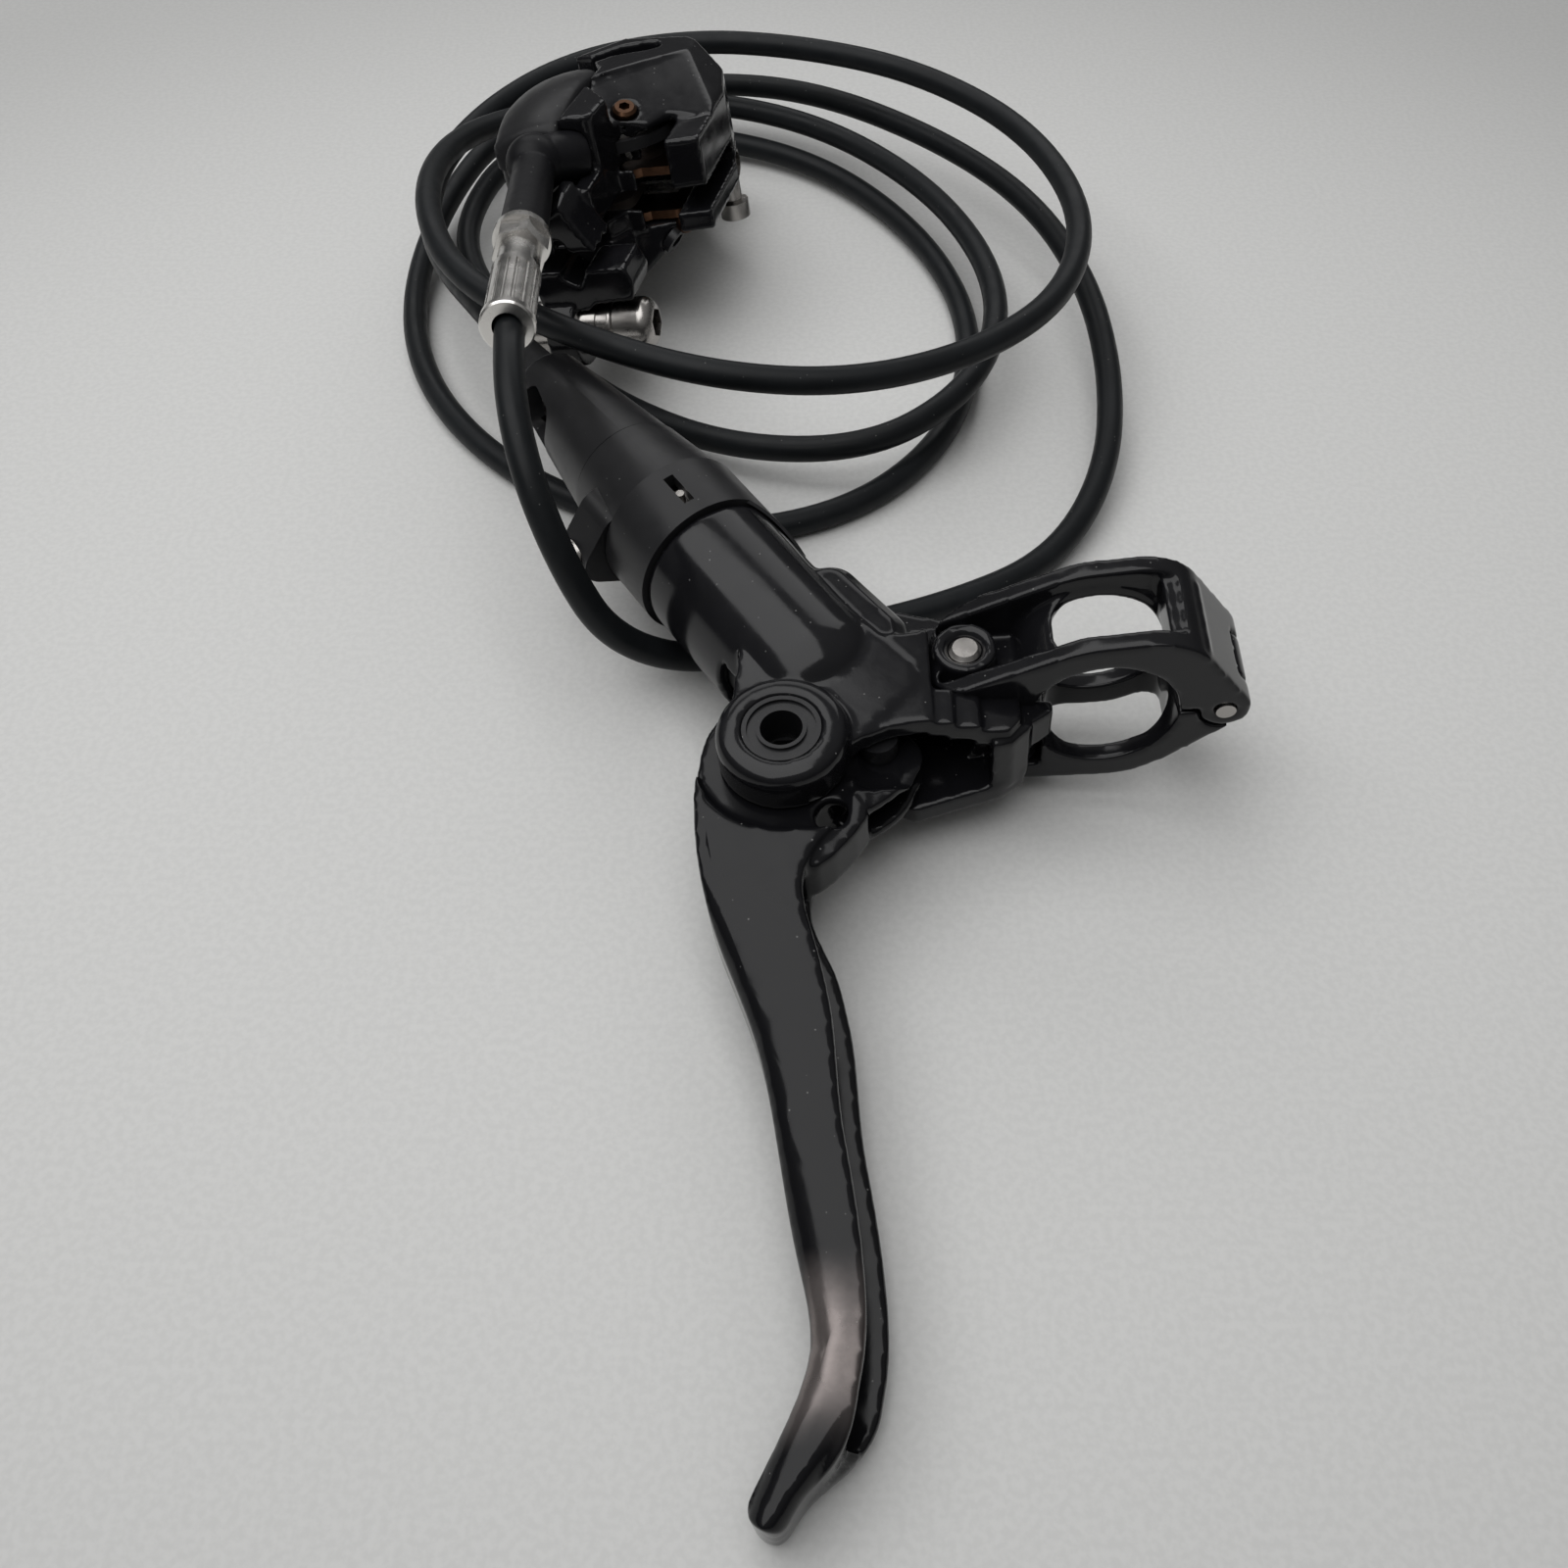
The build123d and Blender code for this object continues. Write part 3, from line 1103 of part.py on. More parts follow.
def hose_boot():
    """Rubber boot round the hose where it leaves the lever's end cap."""
    end = CAP_END + BOOT_LENGTH
    boot = cone(CAP_END_DIAMETER - 4.4, HOSE_DIAMETER + 1.8, CAP_END, end)
    return BARREL * (boot - rod(HOSE_DIAMETER, CAP_END - 1, end + 1))


def hose_olive():
    """Crimped olive on the hose, seated by the hose nut."""
    end = CAP_END - 6 - NUT_LENGTH
    return BARREL * tube(OLIVE_DIAMETER, HOSE_DIAMETER, end - 1.8, end)


def placed(place, shape):
    """Puts one solid, or each solid of a group, at its place on the surface."""
    if isinstance(shape, list):
        return Compound([place * piece for piece in shape])
    return place * shape


LEVER_NODES = {
    "master_body": master_body,
    "pivot_pin": pivot_pin,
    "pivot_cap": pivot_cap,
    "pivot_bushings": pivot_bushings,
    "lever_blade": lever_blade,
    "pushrod_dowel": pushrod_dowel,
    "pushrod": pushrod,
    "cylinder_liner": cylinder_liner,
    "master_piston": master_piston,
    "master_seals": master_seals,
    "return_spring": return_spring,
    "reservoir_bladder": reservoir_bladder,
    "contact_ring": contact_ring,
    "adjuster_nut": adjuster_nut,
    "bleed_sleeve": bleed_sleeve,
    "bleed_screw": bleed_screw,
    "hose_cap": hose_cap,
    "hose_nut": hose_nut,
    "hose_olive": hose_olive,
    "hose_boot": hose_boot,
    "clamp_upper": clamp_upper,
    "clamp_lower": clamp_lower,
    "clamp_bolt": clamp_bolt,
    "hinge_pin": hinge_pin,
}

parts = {name: placed(LEVER, make()) for name, make in LEVER_NODES.items()}
for name, shape in caliper_pieces().items():
    parts[name] = placed(CALIPER, shape)
parts["hose"] = hose()
for name in ("ferrule", "hose_boot", "hose_olive", "hose_nut", "hose_cap"):
    parts[name] -= parts["hose"]
ON_HOSE = ("hose", "ferrule", "hose_fitting", "hose_boot", "hose_olive", "hose_nut")

boxes = [shape.bounding_box() for name, shape in parts.items() if name not in ON_HOSE]
west = min(box.min.X for box in boxes)
east = max(box.max.X for box in boxes)
south = min(box.min.Y for box in boxes)
north = max(box.max.Y for box in boxes)
floor = min(box.min.Z for box in boxes)
SHIFT = Pos(-(west + east) / 2, -(south + north) / 2, -floor)
print("shift", SHIFT.position)

os.makedirs("parts", exist_ok=True)
for name, shape in parts.items():
    export_step(placed(SHIFT, shape), f"parts/{name}.step")
    print(name, "volume", round(shape.volume))
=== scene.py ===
"""Bicycle hydraulic disc brake lying in its own hose loops: finishes, hose and soft-edged castings.

Metres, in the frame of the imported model: +Z up from the surface, +Y from the lever towards the caliper.
"""
import json
import math

import bmesh
import bpy
from bpy.props import FloatProperty, FloatVectorProperty, IntProperty, PointerProperty
from mathutils import Matrix, Vector

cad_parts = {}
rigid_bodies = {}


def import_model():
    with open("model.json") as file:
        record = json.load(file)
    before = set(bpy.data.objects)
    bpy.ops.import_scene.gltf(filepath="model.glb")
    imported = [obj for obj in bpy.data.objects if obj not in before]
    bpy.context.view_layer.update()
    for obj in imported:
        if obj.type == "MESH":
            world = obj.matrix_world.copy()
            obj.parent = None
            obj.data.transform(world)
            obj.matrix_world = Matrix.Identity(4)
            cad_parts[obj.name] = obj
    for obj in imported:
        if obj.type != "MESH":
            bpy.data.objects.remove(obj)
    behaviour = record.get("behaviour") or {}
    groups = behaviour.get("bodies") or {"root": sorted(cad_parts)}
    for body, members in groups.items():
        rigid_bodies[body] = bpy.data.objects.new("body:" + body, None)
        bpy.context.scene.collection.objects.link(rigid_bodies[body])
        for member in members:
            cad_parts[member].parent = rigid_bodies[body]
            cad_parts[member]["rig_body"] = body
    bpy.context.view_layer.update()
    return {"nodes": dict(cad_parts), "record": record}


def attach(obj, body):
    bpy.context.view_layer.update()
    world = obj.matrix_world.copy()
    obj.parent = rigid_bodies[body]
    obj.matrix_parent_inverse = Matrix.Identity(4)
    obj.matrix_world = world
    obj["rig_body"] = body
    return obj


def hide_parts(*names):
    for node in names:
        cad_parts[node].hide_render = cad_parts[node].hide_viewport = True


bl_info = {
    "name": "Hydraulic disc brake",
    "version": (1, 0, 0),
    "blender": (4, 5, 0),
    "location": "View3D > Sidebar > Brake",
    "description": "Dresses the packed brake: hose, castings, metal parts and stage",
    "category": "Object",
}

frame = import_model()
NODES = frame["nodes"]
JOINTS = {joint["name"]: joint for joint in frame["record"]["behaviour"]["joints"]}
MM = 0.001

# The lever's and the caliper's own frames, as they lie on the surface
LEVER_AT = Vector((0.5, 152.0, 16.28))
LEVER_TILT = (5.45, -4.5)
CALIPER_AT = Vector((-31.7, 306.3, 27.6))
CALIPER_TURN = (-11.0, -5.0, -10.0)
SHIFT = Vector(JOINTS["lever_pivot"]["pos_m"]) - LEVER_AT * MM

# Route of the hose, from inside the ferrule to inside the lever's end cap
HOSE_ROUTE = (
    (-0.04482, 0.23248, 0.04864),
    (-0.04371, 0.21069, 0.05142),
    (-0.0403, 0.1912, 0.0453),
    (-0.0344, 0.182, 0.031),
    (-0.0282, 0.1814, 0.0153),
    (-0.015, 0.1872, 0.0039),
    (0.004, 0.1945, 0.0026),
    (0.028, 0.202, 0.0026),
    (0.049, 0.214, 0.0028),
    (0.061, 0.235, 0.006),
    (0.065, 0.262, 0.009),
    (0.063, 0.29, 0.0125),
    (0.054, 0.318, 0.0145),
    (0.036, 0.343, 0.015),
    (0.01, 0.367, 0.014),
    (-0.016, 0.3785, 0.0115),
    (-0.046, 0.377, 0.009),
    (-0.068, 0.358, 0.009),
    (-0.0775, 0.331, 0.0065),
    (-0.0805, 0.3, 0.0035),
    (-0.075, 0.273, 0.0026),
    (-0.062, 0.25, 0.0026),
    (-0.042, 0.2315, 0.0026),
    (-0.013, 0.2205, 0.0026),
    (0.013, 0.228, 0.0026),
    (0.031, 0.248, 0.0026),
    (0.039, 0.274, 0.0026),
    (0.038, 0.301, 0.0028),
    (0.028, 0.328, 0.0032),
    (0.01, 0.352, 0.0036),
    (-0.013, 0.3645, 0.004),
    (-0.042, 0.3615, 0.0075),
    (-0.063, 0.3445, 0.0115),
    (-0.071, 0.3185, 0.009),
    (-0.066, 0.298, 0.007),
    (-0.0515, 0.279, 0.0045),
    (-0.033, 0.2585, 0.004),
    (-0.01, 0.2425, 0.006),
    (0.016, 0.2385, 0.009),
    (0.0345, 0.2515, 0.0115),
    (0.044, 0.275, 0.0115),
    (0.043, 0.302, 0.011),
    (0.032, 0.3315, 0.0105),
    (0.011, 0.358, 0.01),
    (-0.015, 0.371, 0.01),
    (-0.041, 0.3635, 0.0135),
    (-0.0585, 0.3425, 0.0215),
    (-0.0705, 0.316, 0.029),
    (-0.0715, 0.287, 0.033),
    (-0.0615, 0.258, 0.0335),
    (-0.0395, 0.2415, 0.0325),
    (-0.014, 0.2315, 0.0305),
    (0.012, 0.231, 0.029),
    (0.036, 0.2415, 0.0285),
    (0.054, 0.2615, 0.028),
    (0.0605, 0.291, 0.028),
    (0.0515, 0.3245, 0.028),
    (0.03, 0.3495, 0.028),
    (0.004, 0.3635, 0.027),
    (-0.023, 0.37, 0.0255),
    (-0.0505, 0.363, 0.0235),
    (-0.0695, 0.343, 0.0205),
    (-0.078, 0.319, 0.017),
    (-0.0725, 0.294, 0.015),
    (-0.05527, 0.26001, 0.02218),
    (-0.03403, 0.22781, 0.02078),
)

# Plan edges of the lever blade in the lever's own frame, as (along, across) in millimetres
FINGER_EDGE = (
    (2.0, -12.5), (-13.3, -12.9), (-27.8, -10.1), (-44.3, -4.3),
    (-74.4, 1.4), (-84.5, 2.8), (-95.5, -1.4), (-105.0, -5.5),
)
BAR_EDGE = (
    (2.0, 20.0), (-14.0, 6.4), (-22.0, 2.6), (-31.0, 4.0), (-49.7, 7.4),
    (-76.0, 10.9), (-88.8, 10.1), (-99.6, 3.2), (-105.0, -1.0),
)

# The blade's shaping, in millimetres: pairs say where a change begins and where it is complete,
# as a distance from the pivot towards the tip, a depth below the middle or a share of the width
BLADE_SHAPED = (17.0, 34.0)
CROWN = 5.6
CROWN_EDGE = 0.3
LOWER_FLANGE_REACH = 2.4
LOWER_FLANGE_DEPTH = (0.5, 3.5)
LOWER_FLANGE_SHARE = (0.35, 0.95)
BAR_SIDE_TRIM = 1.4
TRIM_SHARE = (0.2, 1.0)
TRIM_BEGINS = (40.0, 60.0)
TRIM_ENDS = (88.0, 98.0)
TIP = (90.0, 102.0)
TIP_ROUND = 3.6

# Walls of the casting round the lever's web, as (outline, bottom, top) in the lever's own frame
ROOF_EDGE = ((3.0, 8.0), (8.5, -1.0), (12.2, 0.2), (15.1, 1.6), (19.0, 2.2))
LIP_EDGE = ((7.0, 1.0), (12.6, -0.4), (19.0, -3.3), (25.9, -1.2), (31.8, 0.5), (36.0, 3.3))
ARM_WALLS = (
    (ROOF_EDGE + ((22.0, 2.4), (22.0, 20.0), (10.0, 18.0)), 5.0, 8.4),
    (((21.0, 2.3), (25.0, 2.2), (25.0, 9.0), (21.0, 9.0)), 4.2, 7.6),
    (((24.0, 2.2), (29.0, 2.0), (29.0, 9.0), (24.0, 9.0)), 3.2, 6.6),
    (((28.0, 2.0), (33.0, 2.0), (35.0, 4.4), (35.0, 9.0), (28.0, 9.0)), 1.8, 5.4),
    (((30.5, 0.6), (33.5, 1.2), (36.5, 4.0), (36.5, 9.0), (30.5, 9.0)), -8.0, 3.6),
    (((33.5, 2.6), (40.0, 7.0), (40.0, 9.0), (33.5, 9.0)), -3.0, 3.4),
    (LIP_EDGE + ((36.0, 9.0), (8.0, 9.0)), -10.5, -6.6),
    (((19.0, 8.0), (30.0, 8.0), (30.0, 25.0), (19.0, 25.0)), -1.0, 2.7),
)

# The lever's flank beside the hole in its web, and where the web lies lower than in the solid
ROOT_OUTLINE = (
    (8.9, -8.0), (10.4, -6.4), (11.6, -8.6), (12.0, -11.2), (10.0, -14.2), (7.0, -17.6),
    (4.5, -19.6), (1.0, -20.0), (1.0, -14.0), (6.8, -13.2), (8.4, -12.4), (9.1, -10.6),
)
LEVER_ROOT = ((ROOT_OUTLINE, -3.0, 5.0),)
WEB_FROM = (9.4, -7.0)
WEB_BLEND = 3
WEB_SUNK = 0.35

# The upper clamp half's solid end beside its hinge, and the middle and radius of its rounded end
BAND_END = (
    (((56.6, 9.4), (59.4, 9.4), (59.4, 22.6), (56.6, 22.6)), 8.0, 14.4),
    (((59.0, 9.4), (62.4, 9.4), (62.4, 22.6), (59.0, 22.6)), 5.0, 12.6),
)
ROUND_END_AT = (29.6, 16.0)
ROUND_END = 8.6

# Walls of the caliper halves round the pads, the same way in the caliper's own frame
NEAR_SCREEN = ((-14.0, -15.2), (6.0, -15.2), (6.0, -14.2), (-14.0, -14.2))
BRIDGE_CHEEK = ((13.8, -17.0), (20.6, -16.0), (20.8, 7.2), (13.8, 7.2))
OUTBOARD_WALLS = ((NEAR_SCREEN, 1.9, 6.2), (BRIDGE_CHEEK, 2.4, 12.0))
INBOARD_WALLS = ((NEAR_SCREEN, -6.2, -1.9), (BRIDGE_CHEEK, -6.4, -2.4))

# The dome of the caliper's cover, and the end of the screw that keeps the pads' pin
COVER_MIDDLE = (-8.0, -7.0)
COVER_REACH = (11.5, 17.0)
COVER_DROP = 3.4
COVER_DROP_LIMIT = 1.2
COVER_HEIGHTS = (9.0, 17.0)
RETAINER_AT = (12.8, -10.4, -7.0)
RETAINER_DIAMETER = 4.4

# Voxel sizes of the softened pieces, in metres
COARSE = 0.00036
MIDDLING = 0.00035
FINE = 0.00033
FINEST = 0.0003

# Relief of the finishes, as (scale, depth in metres, strength)
LACQUER_GRAIN = (2600.0, 0.000012, 0.25)
SATIN_GRAIN = (2600.0, 0.00002, 0.4)
HOSE_GRAIN = (3200.0, 0.00002, 0.35)
LEVER_GRAIN = (2200.0, 0.000012, 0.25)
METAL_GRAIN = (1800.0, 0.000006, 0.12)
PLATE_GRAIN = (1800.0, 0.00001, 0.3)

# Colours that belong to no one piece
DUST = (0.3, 0.3, 0.29)
BLACK_OXIDE = (0.01, 0.01, 0.011)
FRICTION = (0.09, 0.075, 0.065)
WALL_GREY = (0.16, 0.16, 0.16)
CEILING_GREY = (0.68, 0.68, 0.68)

# The worn patch of the lever: distances from the pivot and heights over the surface, in metres
WORN_BEGINS = (0.082, 0.073)
WORN_ENDS = (0.097, 0.088)
WORN_HEIGHT = (0.0095, 0.0115)

# Its painted highlight (how much brighter the worn metal is painted on sides that face -X), its roughness,
# and the sheen of the lacquer round it
WORN_PAINTED_HIGHLIGHT = 2.2
WORN_ROUGHNESS = 0.36
LEVER_SHINE = 0.22

# The camera's sensor in millimetres, and the nearest that it sees, in metres
SENSOR_WIDTH = 36.0
NEAREST = 0.01

# The surface, in metres; its colour carries painted light, brighter in the middle and falling off to
# painted shade over an ellipse round its middle
SURFACE_REACH = 3.0
SURFACE_FALLOFF = (3.0, 3.4)
SURFACE_MIDDLE = 0.02
SURFACE_PAINTED_LIGHT = (1.06, 0.76)
SURFACE_FLECK = (0.97, 1.03)
SURFACE_ROUGHNESS = 0.8
ROOM_STRENGTH = 0.4

# Lamps, as (name, place, target, size, power)
LAMPS = (
    ("Overhead", (-0.26, -0.02, 0.84), (0.03, 0.12, 0.0), (1.2, 0.9), 6.9),
    ("Window", (0.0, 1.0, 0.72), (0.0, 0.0, 0.0), (1.3, 0.5), 2.4),
)

# Nodes by finish
STEEL_NODES = (
    "clamp_bolt", "body_bolts", "hinge_pin", "mount_washers_near", "mount_washers_far", "return_spring",
    "pad_spring", "bleed_screw", "pad_pin", "mount_bolt_near", "mount_bolt_far",
    "adjuster_nut", "piston_outboard", "piston_inboard", "master_piston", "cylinder_liner",
)
PLATED_NODES = ("hose_fitting", "ferrule", "hose_nut")
COPPER_NODES = ("plate_outboard", "plate_inboard", "hose_olive")
OXIDE_NODES = ("pivot_pin", "pivot_cap", "bore_plug", "pushrod_dowel", "pushrod", "pivot_bushings")
FRICTION_NODES = ("friction_outboard", "friction_inboard")
RUBBER_NODES = ("hose_boot", "master_seals", "seal_outboard", "seal_inboard", "reservoir_bladder")


class BrakeFinish(bpy.types.PropertyGroup):
    """Colours and surface values of the brake's finishes."""

    shell: FloatVectorProperty(
        name="Shell", description="Gloss lacquer of the castings",
        subtype="COLOR", size=3, default=(0.006, 0.006, 0.007),
    )
    satin: FloatVectorProperty(
        name="Satin", description="Satin black of the rings and covers",
        subtype="COLOR", size=3, default=(0.012, 0.012, 0.013),
    )
    hose: FloatVectorProperty(
        name="Hose", description="Outer jacket of the hose",
        subtype="COLOR", size=3, default=(0.008, 0.009, 0.01),
    )
    worn: FloatVectorProperty(
        name="Worn lever", description="Metal that shows where fingers have worn the lever",
        subtype="COLOR", size=3, default=(0.125, 0.11, 0.106),
    )
    steel: FloatVectorProperty(
        name="Steel", description="Stainless bolts and washers",
        subtype="COLOR", size=3, default=(0.46, 0.44, 0.42),
    )
    plated: FloatVectorProperty(
        name="Plated", description="Nickel-plated fitting and ferrule",
        subtype="COLOR", size=3, default=(0.8, 0.78, 0.75),
    )
    copper: FloatVectorProperty(
        name="Copper", description="Pad backing plates",
        subtype="COLOR", size=3, default=(0.38, 0.2, 0.12),
    )
    gloss: FloatProperty(
        name="Gloss", description="Roughness of the gloss lacquer", min=0.0, max=1.0, default=0.13
    )


class BrakeStage(bpy.types.PropertyGroup):
    """The surface the brake lies on, and the light."""

    floor: FloatVectorProperty(
        name="Surface", description="Pale surface under the brake",
        subtype="COLOR", size=3, default=(0.62, 0.62, 0.61),
    )
    lens: FloatProperty(
        name="Lens", description="Focal length on a 36 mm wide sensor, in millimetres",
        min=10.0, default=36.0,
    )
    pitch: FloatProperty(
        name="Pitch", description="How far the camera looks down",
        subtype="ANGLE", default=math.radians(50.0),
    )
    height: FloatProperty(
        name="Camera height", description="Height of the camera above the surface",
        unit="LENGTH", default=0.195,
    )


class BrakeHose(bpy.types.PropertyGroup):
    """Thickness and roundness of the hose."""

    diameter: FloatProperty(
        name="Diameter", description="Outer diameter of the hose", unit="LENGTH", default=0.005
    )
    sides: IntProperty(
        name="Roundness", description="Bevel steps round the hose", min=2, max=32, default=10
    )


def finish_values():
    """The finish settings of this scene."""
    return bpy.context.scene.brake_finish


def colour(values):
    """A colour socket's four numbers."""
    return (values[0], values[1], values[2], 1.0)


def scaled(values, share):
    """A colour made darker or lighter."""
    return tuple(share * value for value in values)


def lever_frame():
    """Matrix from the lever's own frame, in metres, to the model's frame."""
    roll, pitch = (math.radians(angle) for angle in LEVER_TILT)
    turn = Matrix.Rotation(roll, 4, "X") @ Matrix.Rotation(pitch, 4, "Y")
    return Matrix.Translation(LEVER_AT * MM + SHIFT) @ turn


def caliper_frame():
    """Matrix from the caliper's own frame, in metres, to the model's frame."""
    yaw, pitch, roll = (math.radians(angle) for angle in CALIPER_TURN)
    turn = Matrix.Rotation(yaw, 4, "Z") @ Matrix.Rotation(pitch, 4, "X") @ Matrix.Rotation(roll, 4, "Y")
    return Matrix.Translation(CALIPER_AT * MM + SHIFT) @ turn


class Graph:
    """Adds nodes to a node tree and links them."""

    def __init__(self, tree):
        self.tree = tree

    def add(self, kind, settings=None, **inputs):
        """Adds a node with its settings and inputs."""
        node = self.tree.nodes.new(kind)
        for name, value in (settings or {}).items():
            setattr(node, name, value)
        for name, value in inputs.items():
            self.put(node.inputs[name.replace("_", " ")], value)
        return node

    def put(self, socket, value):
        """Links or sets an input socket."""
        if isinstance(value, bpy.types.NodeSocket):
            self.tree.links.new(value, socket)
        else:
            socket.default_value = value

    def span(self, value, low, high, to_low=0.0, to_high=1.0):
        """Maps a value smoothly from one range to another."""
        node = self.add(
            "ShaderNodeMapRange",
            {"interpolation_type": "SMOOTHSTEP"},
            Value=value, From_Min=low, From_Max=high, To_Min=to_low, To_Max=to_high,
        )
        return node.outputs["Result"]

    def math(self, operation, first, second):
        """A sum, product or the like of two values."""
        node = self.tree.nodes.new("ShaderNodeMath")
        node.operation = operation
        self.put(node.inputs[0], first)
        self.put(node.inputs[1], second)
        return node.outputs["Value"]

    def mix(self, factor, first, second):
        """Mixes two colours."""
        node = self.tree.nodes.new("ShaderNodeMix")
        node.data_type = "RGBA"
        self.put(node.inputs["Factor"], factor)
        self.put(node.inputs[6], first)
        self.put(node.inputs[7], second)
        return node.outputs[2]


def new_group(name, sockets_in, sockets_out):
    """An empty shader group with named inputs and outputs, and its input and output nodes."""
    tree = bpy.data.node_groups.new(name, "ShaderNodeTree")
    for label, kind, value in sockets_in:
        socket = tree.interface.new_socket(name=label, in_out="INPUT", socket_type=kind)
        socket.default_value = value
    for label, kind in sockets_out:
        tree.interface.new_socket(name=label, in_out="OUTPUT", socket_type=kind)
    return tree, tree.nodes.new("NodeGroupInput"), tree.nodes.new("NodeGroupOutput")


def mottle_group():
    """Uneven sheen: a value that wanders between two limits over the surface."""
    if "Mottle" in bpy.data.node_groups:
        return bpy.data.node_groups["Mottle"]
    tree, given, result = new_group(
        "Mottle",
        (
            ("Scale", "NodeSocketFloat", 300.0),
            ("Low", "NodeSocketFloat", 0.1),
            ("High", "NodeSocketFloat", 0.2),
        ),
        (("Value", "NodeSocketFloat"),),
    )
    graph = Graph(tree)
    place = graph.add("ShaderNodeTexCoord").outputs["Object"]
    noise = graph.add(
        "ShaderNodeTexNoise", Vector=place, Scale=given.outputs["Scale"], Detail=4.0, Roughness=0.6
    ).outputs["Fac"]
    spread = graph.add(
        "ShaderNodeMapRange", Value=noise, From_Min=0.3, From_Max=0.7,
        To_Min=given.outputs["Low"], To_Max=given.outputs["High"],
    )
    tree.links.new(spread.outputs["Result"], result.inputs["Value"])
    return tree


def grain_group():
    """Fine surface relief as a normal."""
    if "Grain" in bpy.data.node_groups:
        return bpy.data.node_groups["Grain"]
    tree, given, result = new_group(
        "Grain",
        (
            ("Scale", "NodeSocketFloat", 2000.0),
            ("Depth", "NodeSocketFloat", 0.00002),
            ("Strength", "NodeSocketFloat", 0.3),
        ),
        (("Normal", "NodeSocketVector"),),
    )
    graph = Graph(tree)
    place = graph.add("ShaderNodeTexCoord").outputs["Object"]
    noise = graph.add(
        "ShaderNodeTexNoise", Vector=place, Scale=given.outputs["Scale"], Detail=3.0, Roughness=0.55
    ).outputs["Fac"]
    bump = graph.add(
        "ShaderNodeBump", Strength=given.outputs["Strength"], Distance=given.outputs["Depth"], Height=noise
    )
    tree.links.new(bump.outputs["Normal"], result.inputs["Normal"])
    return tree


def dust_group():
    """Mask of small pale specks that lie on faces turned upwards."""
    if "Dust" in bpy.data.node_groups:
        return bpy.data.node_groups["Dust"]
    tree, given, result = new_group(
        "Dust",
        (("Scale", "NodeSocketFloat", 500.0), ("Amount", "NodeSocketFloat", 0.5)),
        (("Mask", "NodeSocketFloat"),),
    )
    graph = Graph(tree)
    place = graph.add("ShaderNodeTexCoord").outputs["Object"]
    cells = graph.add("ShaderNodeTexVoronoi", Vector=place, Scale=given.outputs["Scale"])
    near = graph.span(cells.outputs["Distance"], 0.05, 0.16, 1.0, 0.0)
    pick = graph.add("ShaderNodeSeparateColor", Color=cells.outputs["Color"]).outputs["Red"]
    some = graph.math("GREATER_THAN", pick, 0.86)
    normal = graph.add("ShaderNodeNewGeometry").outputs["Normal"]
    up = graph.add("ShaderNodeSeparateXYZ", Vector=normal).outputs["Z"]
    lit = graph.math("MULTIPLY", graph.span(up, 0.2, 0.8), given.outputs["Amount"])
    mask = graph.math("MULTIPLY", graph.math("MULTIPLY", near, some), lit)
    tree.links.new(mask, result.inputs["Mask"])
    return tree


def use_group(graph, tree, **values):
    """Places a group in a material with its own values."""
    node = graph.tree.nodes.new("ShaderNodeGroup")
    node.node_tree = tree
    for name, value in values.items():
        graph.put(node.inputs[name], value)
    return node


def use_grain(graph, grain):
    """Places the relief group with a (scale, depth, strength) grain."""
    scale, depth, strength = grain
    return use_group(graph, grain_group(), Scale=scale, Depth=depth, Strength=strength)


def new_material(name):
    """A material with its Principled shader, as (material, graph, shader)."""
    material = bpy.data.materials.new(name)
    material.use_nodes = True
    graph = Graph(material.node_tree)
    shader = material.node_tree.nodes["Principled BSDF"]
    return material, graph, shader


def lacquer(name, base, low, high, shine=0.3, grain=LACQUER_GRAIN, dust=0.5):
    """A painted or moulded finish with uneven sheen, fine grain and a little dust."""
    material, graph, shader = new_material(name)
    sheen = use_group(graph, mottle_group(), Scale=240.0, Low=low, High=high)
    relief = use_grain(graph, grain)
    specks = use_group(graph, dust_group(), Scale=900.0, Amount=dust)
    shade = use_group(graph, mottle_group(), Scale=60.0, Low=0.0, High=1.0)
    lighter = scaled(base, 1.5)
    paint = graph.mix(shade.outputs["Value"], colour(base), colour(lighter))
    graph.put(shader.inputs["Base Color"], graph.mix(specks.outputs["Mask"], paint, colour(DUST)))
    graph.put(shader.inputs["Roughness"], sheen.outputs["Value"])
    graph.put(shader.inputs["Normal"], relief.outputs["Normal"])
    shader.inputs["Specular IOR Level"].default_value = shine
    return material


def bare_metal(name, base, low, high):
    """A metal finish with uneven sheen and tone."""
    material, graph, shader = new_material(name)
    sheen = use_group(graph, mottle_group(), Scale=180.0, Low=low, High=high)
    relief = use_grain(graph, METAL_GRAIN)
    tint = use_group(graph, mottle_group(), Scale=90.0, Low=0.0, High=1.0)
    darker = scaled(base, 0.86)
    graph.put(shader.inputs["Base Color"], graph.mix(tint.outputs["Value"], colour(darker), colour(base)))
    graph.put(shader.inputs["Roughness"], sheen.outputs["Value"])
    graph.put(shader.inputs["Normal"], relief.outputs["Normal"])
    shader.inputs["Metallic"].default_value = 1.0
    return material


